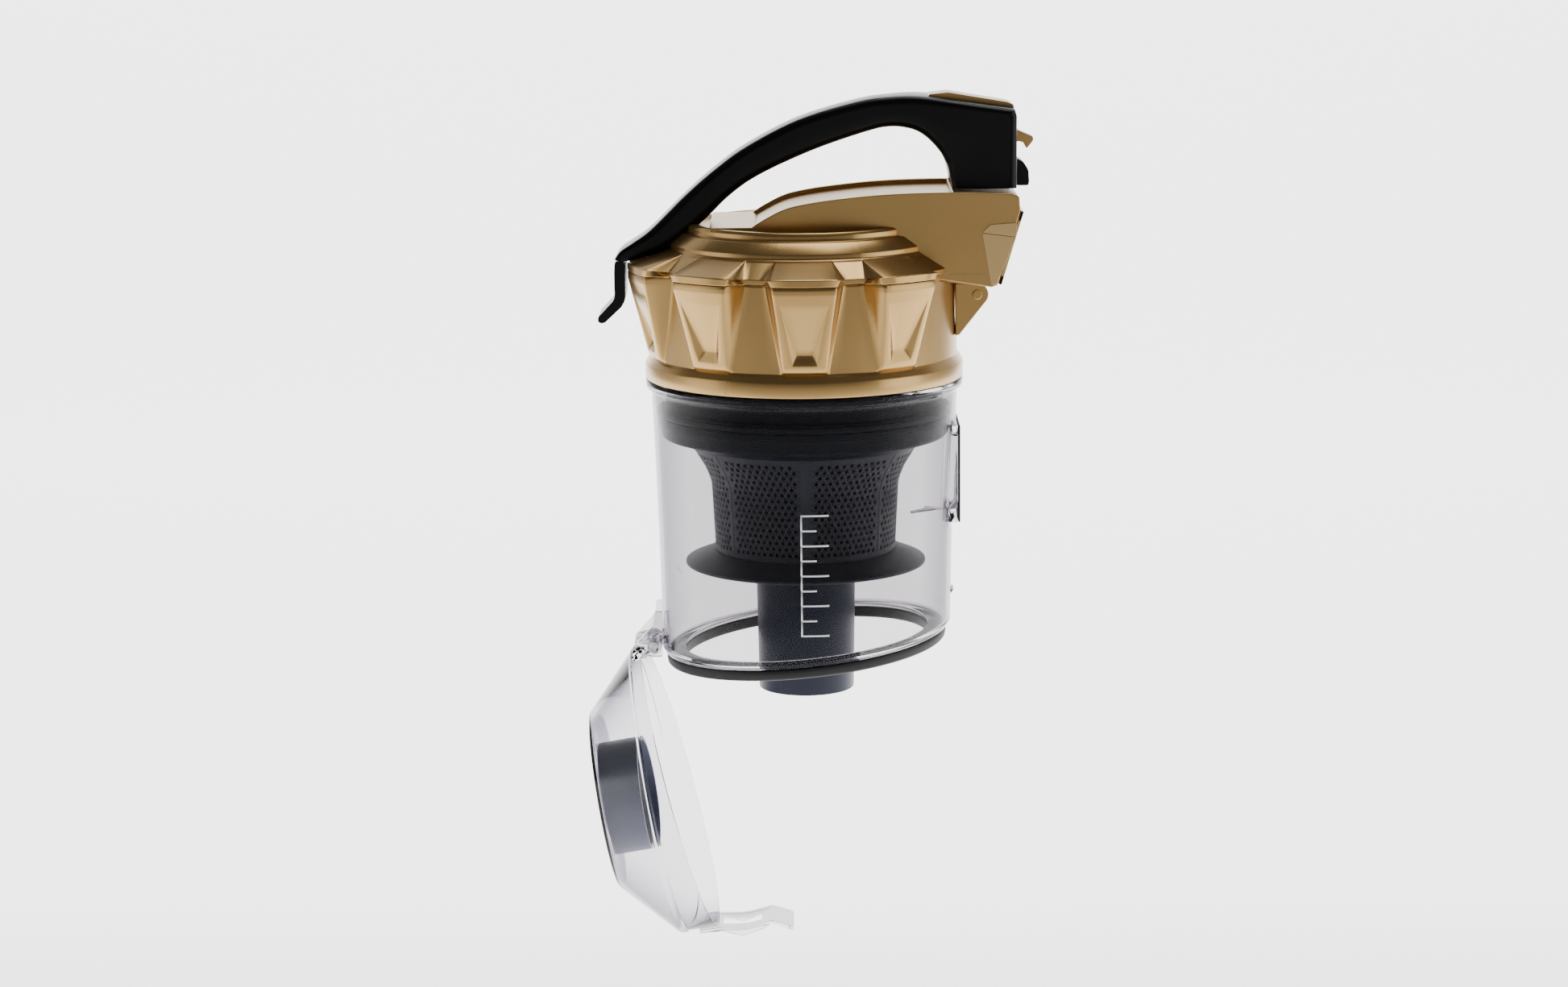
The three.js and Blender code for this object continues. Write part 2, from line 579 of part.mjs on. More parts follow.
piece(container, 'inlet_guide', inletGuide(), CLEAR_SMOKE);
piece(container, 'lid_hinge_pin', roundBar(LID_PIN.x, LID_PIN.z, LID_PIN.r, LID_EAR_OUT + 0.8), GOLD);
piece(container, 'door_hinge_pin', roundBar(DOOR_PIN.x, DOOR_PIN.z, DOOR_PIN.r, DOOR_EAR_OUT + 0.8), CLEAR);

// ---------------------------------------------------------------- lid with outlet duct
const LID_FOOT = SPLIT_Z + GAP;

function lidLobe(grow) {
  const steps = 3;
  const points = [];
  for (let i = 0; i <= steps; i += 1) {
    const share = (2 * i) / steps - 1;
    points.push(polar(LOBE_R - grow, share * LOBE_HALF, LID_FOOT));
    points.push(polar(LOBE_R - grow, share * LOBE_HALF, LID_FOOT + LID_LOBE_BAND - grow));
  }
  for (const side of [-1, 1]) {
    points.push(polar(LID_R - 1.6, side * (LOBE_HALF + LOBE_FLANK), LID_FOOT));
    points.push(polar(RING_B_R + 1.4, side * (LOBE_HALF + 1.4), RING_B_Z - 1.6 - grow));
    points.push(polar(RING_B_R + 1.4, side * (LOBE_HALF + 1.4), LID_FOOT));
  }
  return new ConvexGeometry(points);
}

// Side outline of the duct and plateau, taken in by a wall.
function ductOutline(inset) {
  const ridge = smooth([
    [DUCT_START + inset, PLATEAU_Z - inset], [DUCT_START + 14.8, PLATEAU_Z + 8.4 - inset],
    [DUCT_START + 40, PLATEAU_Z + 13.3 - inset], [DUCT_START + 66, DUCT_TOP_Z - 0.7 - inset],
    [DUCT_CREST_X, DUCT_TOP_Z - inset], [DUCT_END - 3.4, DUCT_TOP_Z - 1.1 - inset],
  ], 14);
  const end = DUCT_END - inset;
  return [
    [PLATEAU_FROM + inset, PLATEAU_Z - 4 - inset], [PLATEAU_FROM + inset, PLATEAU_Z - inset],
    ...ridge, [end, DUCT_TOP_Z - 2.6 - inset], [end + 0.4, DUCT_END_Z],
    [DUCT_TIP_X + 1.4 - inset, DUCT_TIP_Z + 1.1 + inset], [DUCT_TIP_X - 1.4 - inset, DUCT_TIP_Z + inset],
    [DUCT_HEEL_X, DUCT_HEEL_Z + inset], [40, 60], [0, 68],
  ];
}

// The handle sits in a notch over the rings; both sides follow these two runs.
const HANDLE_OUT = [
  [-92.4, 58.2], [-79.8, 69.0], [-75.3, 73.2], [-51.2, 96.6], [-27.4, 114.0], [-6.5, 125.0],
  [15.5, 132.6], [37.8, 136.6], [52.6, 137.6], [61.3, 137.2], [105.2, 131.2],
];
const HANDLE_IN = [
  [-66.8, 63.6], [-50, 76.2], [-36.5, 89.0], [-21.6, 99.2], [5, 111.2], [31.8, 120.2],
  [43.7, 122.6], [54, 121.2], [61, 117.4], [67.5, 110.6], [71.0, 103.6], [72.6, 97],
];

function handleNotch(grow) {
  const y = GRIP_HALF + grow;
  const low = grow > GAP ? grow : GAP;
  return solid(sideways([
    [-60, 96], [-100, 96], [-100, 56.8 - low], [-88.6, 56.8 - low], [-67, 63.2 - low],
    [-49.6 + low, 76.0 - low], [-40, 86 - low],
  ], 2 * y));
}

function lidCover() {
  const under = LID_FOOT;
  const crown = solid(turned([
    [LID_R, under], [LID_R, under + LID_BAND], [RING_B_R + 1.6, RING_B_Z - 1.4], [RING_B_R - 1, RING_B_Z],
    [RING_B_R, RING_B_Z], [RING_B_R, RING_B_Z + RING_B_LIP], [RING_C_R + 2.4, RING_C_Z - 0.6],
    [RING_C_R - 0.4, RING_C_Z], [RING_C_R, RING_C_Z + 1], [RING_C_R, RING_C_Z + RING_C_H - 1.2],
    [RING_C_R - 1.4, RING_C_Z + RING_C_H], [RING_C_R - RING_C_W + 1, RING_C_Z + RING_C_H],
    [RING_C_R - RING_C_W, RING_C_Z + RING_C_H - 2], [0, RING_C_Z + RING_C_H - 2], [0, under],
  ]));
  const lobes = LOBES.map((place) => solid(lidLobe(0).rotateZ(place * LOBE_STEP * DEG)));
  const hollows = LOBES.map((place) => solid(lidLobe(WALL).translate(0, 0, -1).rotateZ(place * LOBE_STEP * DEG)));
  const duct = solid(sideways(ductOutline(0), 2 * DUCT_HALF));
  const bodyRoom = solid(turned([[0, -20], [BODY_R + 1, -20], [BODY_R + 1, under], [0, under]]));
  const room = solid(sideways(ductOutline(WALL), 2 * (DUCT_HALF - WALL)));
  const plenum = solid(turned([[0, under - 5], [LID_R - 3.4, under - 5], [LID_R - 3.4, under + 1.6],
    [RING_B_R - 3, RING_B_Z - 1.4], [RING_C_R - 2.6, RING_C_Z - 3], [RING_C_R - RING_C_W, RING_C_Z - 0.8],
    [0, RING_C_Z - 0.8]]));
  const mouth = solid(outletMouth());
  const channel = solid(sideways(channelOutline(), 2 * (DUCT_HALF - DUCT_RIM)));
  const seat = handleNotch(WALL).intersect(solid(turned([[0, under], [LID_R - 2, under], [LID_R - 2, under + 3],
    [RING_B_R, RING_B_Z + 1], [RING_C_R, RING_C_Z + 3], [0, RING_C_Z + 3]])));
  const outside = cut(joined([crown, ...lobes, duct]), [bodyRoom, ...hollows]);
  const hollowed = cut(outside, [room.subtract(channelFloor()), plenum]).add(seat);
  const opened = cut(hollowed, [mouth, handleNotch(0), channel, solid(floorSlot())]);
  return shell(opened);
}

// The shallow channel along the top of the duct and the floor that is left under it.
function channelOutline() {
  const ridge = smooth([
    [DUCT_START - 1, PLATEAU_Z], [DUCT_START + 16, PLATEAU_Z + 8.4 - DUCT_RIM_H],
    [DUCT_START + 41, PLATEAU_Z + 13.3 - DUCT_RIM_H], [DUCT_START + 66, DUCT_TOP_Z - 0.7 - DUCT_RIM_H],
    [DUCT_CREST_X - 6, DUCT_TOP_Z - DUCT_RIM_H],
  ], 12);
  return [...ridge, [DUCT_CREST_X, DUCT_TOP_Z + 8], [DUCT_START, DUCT_TOP_Z + 8]];
}

function channelFloor() {
  const ridge = channelOutline().slice(0, 13);
  return solid(sideways([...ridge, ...ridge.map(([x, z]) => [x, z - WALL]).reverse()], 2 * DUCT_HALF));
}

const OUTLET_TILT = Math.atan2(DUCT_END + 0.4 - DUCT_TIP_X - 1.4, DUCT_END_Z - DUCT_TIP_Z - 1.1);
const OUTLET_H = Math.hypot(DUCT_END + 0.4 - DUCT_TIP_X - 1.4, DUCT_END_Z - DUCT_TIP_Z - 1.1);
const OUTLET_MID = { x: (DUCT_END + 0.4 + DUCT_TIP_X + 1.4) / 2, z: (DUCT_END_Z + DUCT_TIP_Z + 1.1) / 2 };

// A bar square to the outlet face: x runs out of the duct, z up the face.
function atOutlet(x0, x1, halfY, halfZ) {
  return block(x0, x1, halfY, -halfZ, halfZ).rotateY(OUTLET_TILT)
    .translate(OUTLET_MID.x, 0, OUTLET_MID.z);
}

function outletMouth() {
  return atOutlet(-12, 12, DUCT_HALF - OUTLET_BORDER, OUTLET_H / 2 - OUTLET_BORDER);
}

// Room for the separate floor of the duct.
const FLOOR_FROM = BODY_R + 1.6;
const FLOOR_TO = DUCT_TIP_X - 3;
function floorSlot() {
  return block(BODY_R - 20, FLOOR_TO + GAP, DUCT_HALF - WALL, DUCT_TIP_Z - 8, DUCT_TIP_Z + 7);
}

piece(lid, 'lid_cover', lidCover(), GOLD);

function ductFloor() {
  const y = DUCT_HALF - WALL - GAP;
  const tip = DUCT_TIP_Z + 0.6;
  const plate = solid(sideways([[BODY_R - 14, tip + 2.4], [FLOOR_TO, tip], [FLOOR_TO, tip + 1.9],
    [BODY_R - 14, tip + 4.3]], 2 * y));
  const bodyRoom = solid(turned([[0, 20], [FLOOR_FROM, 20], [FLOOR_FROM, 70], [0, 70]], 64));
  const knuckleHalf = LID_EAR_OUT - LID_EAR_T - GAP;
  const knuckle = solid(sideways([
    [LID_PIN.x - 4.6, tip + 2.4], ...arc(LID_PIN.x, LID_PIN.z, 4.6, 180, 360, 8), [LID_PIN.x + 4.4, tip + 1],
  ], 2 * knuckleHalf));
  const bore = solid(roundBar(LID_PIN.x, LID_PIN.z, LID_PIN.r + RUN, knuckleHalf + 2));
  return shell(plate.subtract(bodyRoom).add(knuckle).subtract(bore));
}

piece(lid, 'duct_floor', ductFloor(), GOLD);

function outletSeal() {
  const frame = solid(atOutlet(GAP, GAP + OUTLET_SEAL_T, DUCT_HALF - 1, OUTLET_H / 2 - 0.5));
  const hole = solid(atOutlet(-5, 9, DUCT_HALF - OUTLET_BORDER + 0.5, OUTLET_H / 2 - OUTLET_BORDER + 0.5));
  return shell(frame.subtract(hole));
}

piece(lid, 'outlet_seal', outletSeal(), RUBBER);

const LID_SEAL_R = LID_R - 3.4 - GAP;
piece(lid, 'lid_seal', turned([[LID_SEAL_R - 3, LID_FOOT], [LID_SEAL_R, LID_FOOT],
  [LID_SEAL_R, LID_FOOT + 1.4], [LID_SEAL_R - 3, LID_FOOT + 1.4]]), RUBBER);

const FILTER_R = 52;
const FILTER_Z = SPLIT_Z + 3.4;
const FILTER_H = 9;
function filterFrame() {
  const ring = solid(turned([[FILTER_R + GAP, FILTER_Z - 1], [FILTER_R + 3, FILTER_Z - 1],
    [FILTER_R + 3, FILTER_Z + FILTER_H], [FILTER_R + GAP, FILTER_Z + FILTER_H]]));
  const hub = solid(turned([[0, FILTER_Z - 1.4], [5, FILTER_Z - 1.4], [5, FILTER_Z], [0, FILTER_Z]], 24));
  const bars = [0, 60, 120].map((turn) => solid(new THREE.BoxGeometry(2 * FILTER_R + 4, 2.4, 0.9)
    .translate(0, 0, FILTER_Z - 0.55).rotateZ(turn * DEG)));
  return shell(joined([ring, ...bars, hub]));
}

piece(lid, 'filter_frame', filterFrame(), SLATE);
piece(lid, 'foam_filter', turned([[0, FILTER_Z + 0.2], [FILTER_R, FILTER_Z + 0.2],
  [FILTER_R, FILTER_Z + FILTER_H], [0, FILTER_Z + FILTER_H]]), FOAM);

// ---------------------------------------------------------------- handle
const HANDLE_FOOT_Z = DUCT_TOP_Z + GAP;
const POST_BACK = 105.2;

function handlePlan() {
  const half = (x) => {
    const share = THREE.MathUtils.smoothstep(x, 40, 84);
    return GRIP_HALF + (POST_HALF - GRIP_HALF) * share;
  };
  const stations = [-95, 30, 44, 54, 64, 74, 84, POST_BACK - 5];
  const near = stations.map((x) => [x, -half(x)]);
  near.push([POST_BACK, -POST_HALF + 5]);
  return [...near, ...near.map(([x, y]) => [x, -y]).reverse()];
}

const TOP_RUN = smooth(HANDLE_OUT.slice(0, 10), 24).concat([HANDLE_OUT[10]]);
const UNDER_RUN = smooth(HANDLE_IN, 22);
const BUTTON_FROM = 62;
const BUTTON_TO = 104.4;
const BUTTON_RISE = 1.4;
const BUTTON_T = 3;
const buttonTop = (x) => 137.2 - (6.0 * (x - 61.3)) / 43.9 + BUTTON_RISE;

function handleShell() {
  const outline = [
    [-92.4, 57.2], ...TOP_RUN, [POST_BACK, HANDLE_FOOT_Z], [73.2, HANDLE_FOOT_Z],
    ...[...UNDER_RUN].reverse(), [-88.4, 57.0],
  ];
  const side = solid(sideways(outline, 2 * POST_HALF + 2));
  const plan = solid(upright(handlePlan(), 120, 50));
  const inlay = beside(TOP_RUN.slice(3, 20), INLAY_T + GAP);
  const groove = solid(sideways([...beside(TOP_RUN.slice(3, 20), -2), ...inlay.reverse()],
    2 * (INLAY_HALF + GAP)));
  const pocketTop = (x) => buttonTop(x) - BUTTON_T - LEVER_PLAY - 2.6 * ((BUTTON_TO - x) / 42);
  const buttonRoom = solid(sideways([[BUTTON_FROM - 2.4, pocketTop(BUTTON_FROM)],
    [BUTTON_TO + 0.5, pocketTop(BUTTON_TO)], [BUTTON_TO + 0.5, 150], [BUTTON_FROM - 2.4, 150]],
  2 * (BUTTON_HALF + 0.5)));
  const shaft = solid(block(LEVER_PIN.x - 8, LEVER_PIN.x + 9, LEVER_HALF + 0.8, LEVER_PIN.z - 16, 150));
  const springRoom = solid(block(72, LEVER_PIN.x, LEVER_HALF + 0.8, 119, 150));
  const hookSlot = solid(block(LEVER_PIN.x, POST_BACK + 4, LEVER_HALF + 0.8, 107.6, 123.2));
  const pinHole = solid(roundBar(LEVER_PIN.x, LEVER_PIN.z, LEVER_PIN.r + RUN, 13, 16));
  const screwHoles = HANDLE_SCREWS.map((y) => solid(new THREE.CylinderGeometry(2, 2, 22, 12)
    .rotateX(Math.PI / 2).translate(88, y, HANDLE_FOOT_Z + 4)));
  return shell(cut(side.intersect(plan),
    [groove, buttonRoom, shaft, springRoom, hookSlot, pinHole, ...screwHoles]));
}

const HANDLE_SCREWS = [-16, 16];
piece(lid, 'handle_shell', handleShell(), BLACK);
piece(lid, 'grip_inlay', sideways([...beside(TOP_RUN.slice(3, 20), 0.1),
  ...beside(TOP_RUN.slice(3, 20), INLAY_T).reverse()], 2 * INLAY_HALF), BLACK);

HANDLE_SCREWS.forEach((y, i) => {
  const screw = new THREE.CylinderGeometry(1.6, 1.6, 9, 12).rotateX(Math.PI / 2);
  piece(lid, `handle_screw_${i + 1}`, screw.translate(88, y, HANDLE_FOOT_Z + 8), STEEL);
});

piece(lid, 'rear_lug', sideways([
  [POST_BACK + GAP, 92.6], [111.6, 92.6], [112.2, 94], [111.8, 100.4], [109.2, 104.4], [POST_BACK + GAP, 106.4],
], 16), BLACK);

piece(lid, 'lever_pin', roundBar(LEVER_PIN.x, LEVER_PIN.z, LEVER_PIN.r, 12.6, 16), STEEL);

// Coil spring under the front of the button.
function leverSpring() {
  const turns = 5;
  const height = 12.4;
  const radius = 2.6;
  const points = Array.from({ length: turns * 10 + 1 }, (_, i) => {
    const a = (i / 10) * 2 * Math.PI;
    return new THREE.Vector3(78 + radius * Math.cos(a), radius * Math.sin(a), 120.2 + (height * i) / (turns * 10));
  });
  const section = new THREE.Shape(arc(0, 0, 0.4, 0, 300, 5).map(([x, y]) => new THREE.Vector2(x, y)));
  return new THREE.ExtrudeGeometry(section, {
    steps: turns * 10, extrudePath: new THREE.CatmullRomCurve3(points), bevelEnabled: false,
  });
}

piece(lid, 'lever_spring', leverSpring(), STEEL);

// ---------------------------------------------------------------- release lever and lid latch
function releaseLever() {
  const button = solid(sideways([
    [BUTTON_FROM, buttonTop(BUTTON_FROM) - BUTTON_T + 1], [BUTTON_FROM + 1, buttonTop(BUTTON_FROM) - 0.5],
    [BUTTON_FROM + 10, buttonTop(BUTTON_FROM + 10) + 0.8], [BUTTON_TO - 3, buttonTop(BUTTON_TO - 3)],
    [BUTTON_TO, buttonTop(BUTTON_TO) - 1.2], [BUTTON_TO, buttonTop(BUTTON_TO) - BUTTON_T],
  ], 2 * BUTTON_HALF));
  const stem = solid(sideways([
    [LEVER_PIN.x - 4, buttonTop(LEVER_PIN.x) - 1.5], [LEVER_PIN.x - 4, LEVER_PIN.z - 4],
    [100, 112.6], [107, 114.2], [109.4, 113.6], [111, 110.4], [114.3, 114.4], [114.3, 116.4],
    [106, 120.0], [LEVER_PIN.x + 5, 119.4], [LEVER_PIN.x + 3, buttonTop(LEVER_PIN.x + 3) - 1.5],
  ], 2 * LEVER_HALF));
  const bore = solid(roundBar(LEVER_PIN.x, LEVER_PIN.z, LEVER_PIN.r + RUN, 20, 16));
  return shell(button.add(stem).subtract(bore));
}

piece(lid, 'release_lever', releaseLever(), GOLD);

function latchTab() {
  const inner = -LOBE_R - 0.4;
  return sideways([
    [inner - TAB_T, 56.6], [inner - TAB_T, 39.3], [inner - TAB_T - 1, 37.2], [-101.8, 28.4], [-100.4, 26.6],
    [inner - 2, 34.0], [inner - 0.2, 37.4], [inner, 40], [inner, 56.6],
  ], 2 * TAB_HALF);
}

piece(lid, 'lid_latch_tab', latchTab(), BLACK);

// ---------------------------------------------------------------- bottom door, built shut, turned open
const DOOR_R = CUP_FOOT_R;
const RIM_PLANE = -CUP_DROP - GASKET_H + DOOR_WRAP;

function fromShut(geometry) {
  return geometry.translate(-DOOR_PIN.x, 0, -DOOR_PIN.z);
}

function doorBowl() {
  const bowl = solid(turned([
    [0, DOOR_BOTTOM_Z], [DOOR_CENTRE_R, DOOR_BOTTOM_Z], [DOOR_FLAT_R, DOOR_FLAT_Z],
    [DOOR_R, DOOR_SHOULDER_Z], [DOOR_R, -110], [DOOR_R - WALL, -110], [DOOR_R - WALL, DOOR_SHOULDER_Z + 0.8],
    [DOOR_FLAT_R - 0.8, DOOR_FLAT_Z + WALL], [DOOR_CENTRE_R, DOOR_BOTTOM_Z + WALL], [0, DOOR_BOTTOM_Z + WALL],
  ]));
  const reach = 300;
  const above = solid(new THREE.BoxGeometry(reach, reach, reach).translate(0, 0, reach / 2)
    .rotateY(-FOOT_SLANT).translate(0, 0, RIM_PLANE));
  const half = DOOR_EAR_OUT - DOOR_EAR_T - GAP;
  const knuckle = solid(sideways([
    [-DOOR_R + 1, DOOR_SHOULDER_Z + 0.4], [DOOR_PIN.x - 2.4, DOOR_SHOULDER_Z + 4],
    ...arc(DOOR_PIN.x, DOOR_PIN.z, DOOR_KNUCKLE_R, 180, 0, 8),
    [DOOR_PIN.x + DOOR_KNUCKLE_R, DOOR_PIN.z - 4], [-DOOR_R + 1, DOOR_PIN.z - 8],
  ], 2 * half));
  const wallRoom = solid(turned([[0, -100], [CUP_FOOT_R + 0.2, -100], [CUP_FOOT_R + 0.2, -100 - 46],
    [0, -100 - 46]]));
  const bore = solid(roundBar(DOOR_PIN.x, DOOR_PIN.z, DOOR_PIN.r + RUN, half + 2));
  const whole = bowl.subtract(above).add(knuckle.subtract(wallRoom)).subtract(bore);
  return fromShut(shell(whole));
}

piece(door, 'door_bowl', doorBowl(), CLEAR);

const SOCKET_FOOT = DOOR_BOTTOM_Z + WALL + 1.2;
const SOCKET_TOP = TUBE_TIP_Z + 5;
piece(door, 'tube_socket', fromShut(turned([
  [SOCKET_R, SOCKET_FOOT], [SOCKET_R, SOCKET_TOP], [SOCKET_R - SOCKET_T, SOCKET_TOP],
  [SOCKET_R - SOCKET_T, SOCKET_FOOT + 2], [DOOR_CENTRE_R - 6, SOCKET_FOOT + 2], [DOOR_CENTRE_R - 6, SOCKET_FOOT],
], 36)), SOCKET);
piece(door, 'socket_seal', fromShut(turned([
  [SOCKET_R - SOCKET_T - GAP, SOCKET_FOOT + 2 + GAP], [SOCKET_R - SOCKET_T - GAP, TUBE_TIP_Z - 2 * GAP],
  [TUBE_TIP_R - 4, TUBE_TIP_Z - 2 * GAP], [TUBE_TIP_R - 4, SOCKET_FOOT + 2 + GAP],
], 36)), RUBBER);

function doorArm() {
  const catchFace = cupRadius(CATCH_Z) + CATCH_OUT + GAP;
  const foot = DOOR_R + GAP;
  const run = [[foot, RIM_PLANE - 4], [foot + 0.4, RIM_PLANE + DOOR_R * SLOPE + 3],
    [catchFace, -126], [catchFace + 0.6, -118], [catchFace, -109], [catchFace - 0.4, -104], [80.4, -94.5]];
  const inner = smooth(run, 14);
  const plate = solid(sideways([...beside(inner, DOOR_ARM_T), ...inner.reverse()], DOOR_ARM_W));
  const window = solid(block(60, 100, 6.5, -130, CATCH_Z + 3));
  return fromShut(shell(plate.subtract(window)));
}

piece(door, 'door_latch_arm', doorArm(), CLEAR);

export default model;
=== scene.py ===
"""Looks for the dust container of a canister vacuum cleaner.

Lengths in the shape code are millimetres from the cyclone's axis and, in height, from two above the
lower edge of the gold rim.
"""

import json
import math

import bmesh
import bpy
from mathutils import Matrix, Vector


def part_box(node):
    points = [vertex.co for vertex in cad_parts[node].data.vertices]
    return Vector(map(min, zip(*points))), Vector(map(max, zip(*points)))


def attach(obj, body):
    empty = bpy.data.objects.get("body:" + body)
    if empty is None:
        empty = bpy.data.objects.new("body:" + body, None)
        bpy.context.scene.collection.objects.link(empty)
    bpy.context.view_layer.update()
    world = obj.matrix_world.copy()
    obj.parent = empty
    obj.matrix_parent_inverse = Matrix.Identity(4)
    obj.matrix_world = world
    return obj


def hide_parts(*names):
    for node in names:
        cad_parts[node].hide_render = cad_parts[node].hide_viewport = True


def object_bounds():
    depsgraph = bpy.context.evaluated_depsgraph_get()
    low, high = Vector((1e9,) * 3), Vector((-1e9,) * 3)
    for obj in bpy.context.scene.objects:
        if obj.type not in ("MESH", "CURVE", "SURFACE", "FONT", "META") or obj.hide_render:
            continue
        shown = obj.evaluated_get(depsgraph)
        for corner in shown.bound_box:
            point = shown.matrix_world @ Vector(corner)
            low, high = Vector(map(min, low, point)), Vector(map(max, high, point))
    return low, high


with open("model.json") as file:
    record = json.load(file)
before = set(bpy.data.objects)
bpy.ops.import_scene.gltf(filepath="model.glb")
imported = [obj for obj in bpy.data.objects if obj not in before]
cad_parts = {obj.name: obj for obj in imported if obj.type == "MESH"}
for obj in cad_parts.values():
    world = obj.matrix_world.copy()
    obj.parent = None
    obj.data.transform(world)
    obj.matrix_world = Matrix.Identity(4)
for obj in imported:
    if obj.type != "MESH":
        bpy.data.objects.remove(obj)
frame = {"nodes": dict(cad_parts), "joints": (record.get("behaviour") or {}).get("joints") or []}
cad_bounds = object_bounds()

# ------------------------------------------------------------------ reference places from the frame
MM = 0.001
seal_low, seal_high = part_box("base_seal")
housing_low, housing_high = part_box("cyclone_housing")
AXIS_X = (seal_low.x + seal_high.x) / 2
RIM_DROP = 2.0
ZERO_Z = housing_low.z + RIM_DROP * MM
ORIGIN = Vector((AXIS_X, 0, ZERO_Z))
joints = {j["name"]: j for j in frame["joints"]}

RIM_R = 79.6
SPLIT_Z = (housing_high.z - ZERO_Z) / MM
LOBE_COUNT = 10               # places round the housing, some left free for the duct
LOBE_STEP = 36                # degrees
LOBE_PLACES = (-2, -1, 0, 1, 4, 5, 6, 7)
LOBED = {place_number % LOBE_COUNT for place_number in LOBE_PLACES}
LOBE_R = 88.0
WALL_R = 76.6
FOOT_SLANT = math.radians(5.3)
CUP_DROP = 136.5
CUP_FOOT_R = 73.2
CUP_TOP_R = 77.2
DUCT_HALF = 36.0
GRIP_HALF = 14.0


def place(x, y, z):
    return ORIGIN + Vector((x, y, z)) * MM


def joint_place(name):
    """A joint's x and z in the shape code's millimetres."""
    pos = joints[name]["pos_m"]
    return (pos[0] - ORIGIN.x) / MM, (pos[2] - ORIGIN.z) / MM


def door_turn():
    """The turn that opens the shut door, about its pin."""
    joint = joints["door_hinge"]
    pin = Vector(joint["pos_m"])
    angle = -math.radians(joint["range_deg"][0])
    return Matrix.Translation(pin) @ Matrix.Rotation(angle, 4, "Y") @ Matrix.Translation(-pin)


# ------------------------------------------------------------------ materials
def new_material(name):
    material = bpy.data.materials.new(name)
    material.use_nodes = True
    nodes = material.node_tree.nodes
    shader = nodes["Principled BSDF"]
    return material, nodes, material.node_tree.links, shader


def noise(nodes, links, scale, detail=4.0, stretch=(1, 1, 1)):
    coords = nodes.new("ShaderNodeTexCoord")
    mapping = nodes.new("ShaderNodeMapping")
    mapping.inputs["Scale"].default_value = stretch
    texture = nodes.new("ShaderNodeTexNoise")
    texture.inputs["Scale"].default_value = scale
    texture.inputs["Detail"].default_value = detail
    links.new(coords.outputs["Object"], mapping.inputs["Vector"])
    links.new(mapping.outputs["Vector"], texture.inputs["Vector"])
    return texture.outputs["Fac"]


def spread(nodes, links, source, low, high, start=0.3, end=0.7):
    ramp = nodes.new("ShaderNodeMapRange")
    ramp.inputs["From Min"].default_value = start
    ramp.inputs["From Max"].default_value = end
    ramp.inputs["To Min"].default_value = low
    ramp.inputs["To Max"].default_value = high
    links.new(source, ramp.inputs["Value"])
    return ramp.outputs["Result"]


def tint(nodes, links, source, dark, light):
    mix = nodes.new("ShaderNodeMix")
    mix.data_type = "RGBA"
    mix.inputs["A"].default_value = (*dark, 1)
    mix.inputs["B"].default_value = (*light, 1)
    links.new(source, mix.inputs["Factor"])
    return mix.outputs["Result"]


def bump(nodes, links, source, strength, distance, shader):
    node = nodes.new("ShaderNodeBump")
    node.inputs["Strength"].default_value = strength
    node.inputs["Distance"].default_value = distance
    links.new(source, node.inputs["Height"])
    links.new(node.outputs["Normal"], shader.inputs["Normal"])


def moulded(name, dark, light, rough, metallic=0.0, grain=900, coat=0.0, bump_mm=0.02,
            specular=0.5, relief=0.35):
    """Moulded plastic: slight colour drift, uneven gloss and a fine surface grain."""
    material, nodes, links, shader = new_material(name)
    drift = noise(nodes, links, DRIFT_SCALE, 3)
    fine = noise(nodes, links, grain, 2)
    color = tint(nodes, links, spread(nodes, links, drift, 0, 1), dark, light)
    links.new(color, shader.inputs["Base Color"])
    links.new(spread(nodes, links, drift, *rough), shader.inputs["Roughness"])
    shader.inputs["Metallic"].default_value = metallic
    shader.inputs["Coat Weight"].default_value = coat
    shader.inputs["Coat Roughness"].default_value = 0.15
    shader.inputs["Specular IOR Level"].default_value = specular
    bump(nodes, links, fine, relief, bump_mm * MM, shader)
    return material


CLEAR_IOR = 1.17              # low, so that thin walls do not pipe light and turn hazy
DRIFT_SCALE, FLOW_SCALE = 14, 30


def clear(name, color, edge):
    """Clear moulded plastic: faint flow marks, and a deeper tint where the wall is seen edge-on."""
    material, nodes, links, shader = new_material(name)
    flow = noise(nodes, links, FLOW_SCALE, 2, (1, 1, 0.25))
    darker = tuple(0.975 * c for c in color)
    body = tint(nodes, links, spread(nodes, links, flow, 0, 1), darker, color)
    facing = nodes.new("ShaderNodeLayerWeight")
    facing.inputs["Blend"].default_value = 0.5
    mix = nodes.new("ShaderNodeMix")
    mix.data_type = "RGBA"
    mix.inputs["B"].default_value = (*edge, 1)
    links.new(spread(nodes, links, facing.outputs["Facing"], 0, 1, 0.4, 0.85), mix.inputs["Factor"])
    links.new(body, mix.inputs["A"])
    links.new(mix.outputs["Result"], shader.inputs["Base Color"])
    links.new(spread(nodes, links, flow, 0.0, 0.004), shader.inputs["Roughness"])
    shader.inputs["Transmission Weight"].default_value = 1.0
    shader.inputs["IOR"].default_value = CLEAR_IOR
    shader.inputs["Specular IOR Level"].default_value = 0.5
    bump(nodes, links, flow, 0.02, 0.02 * MM, shader)
    return material


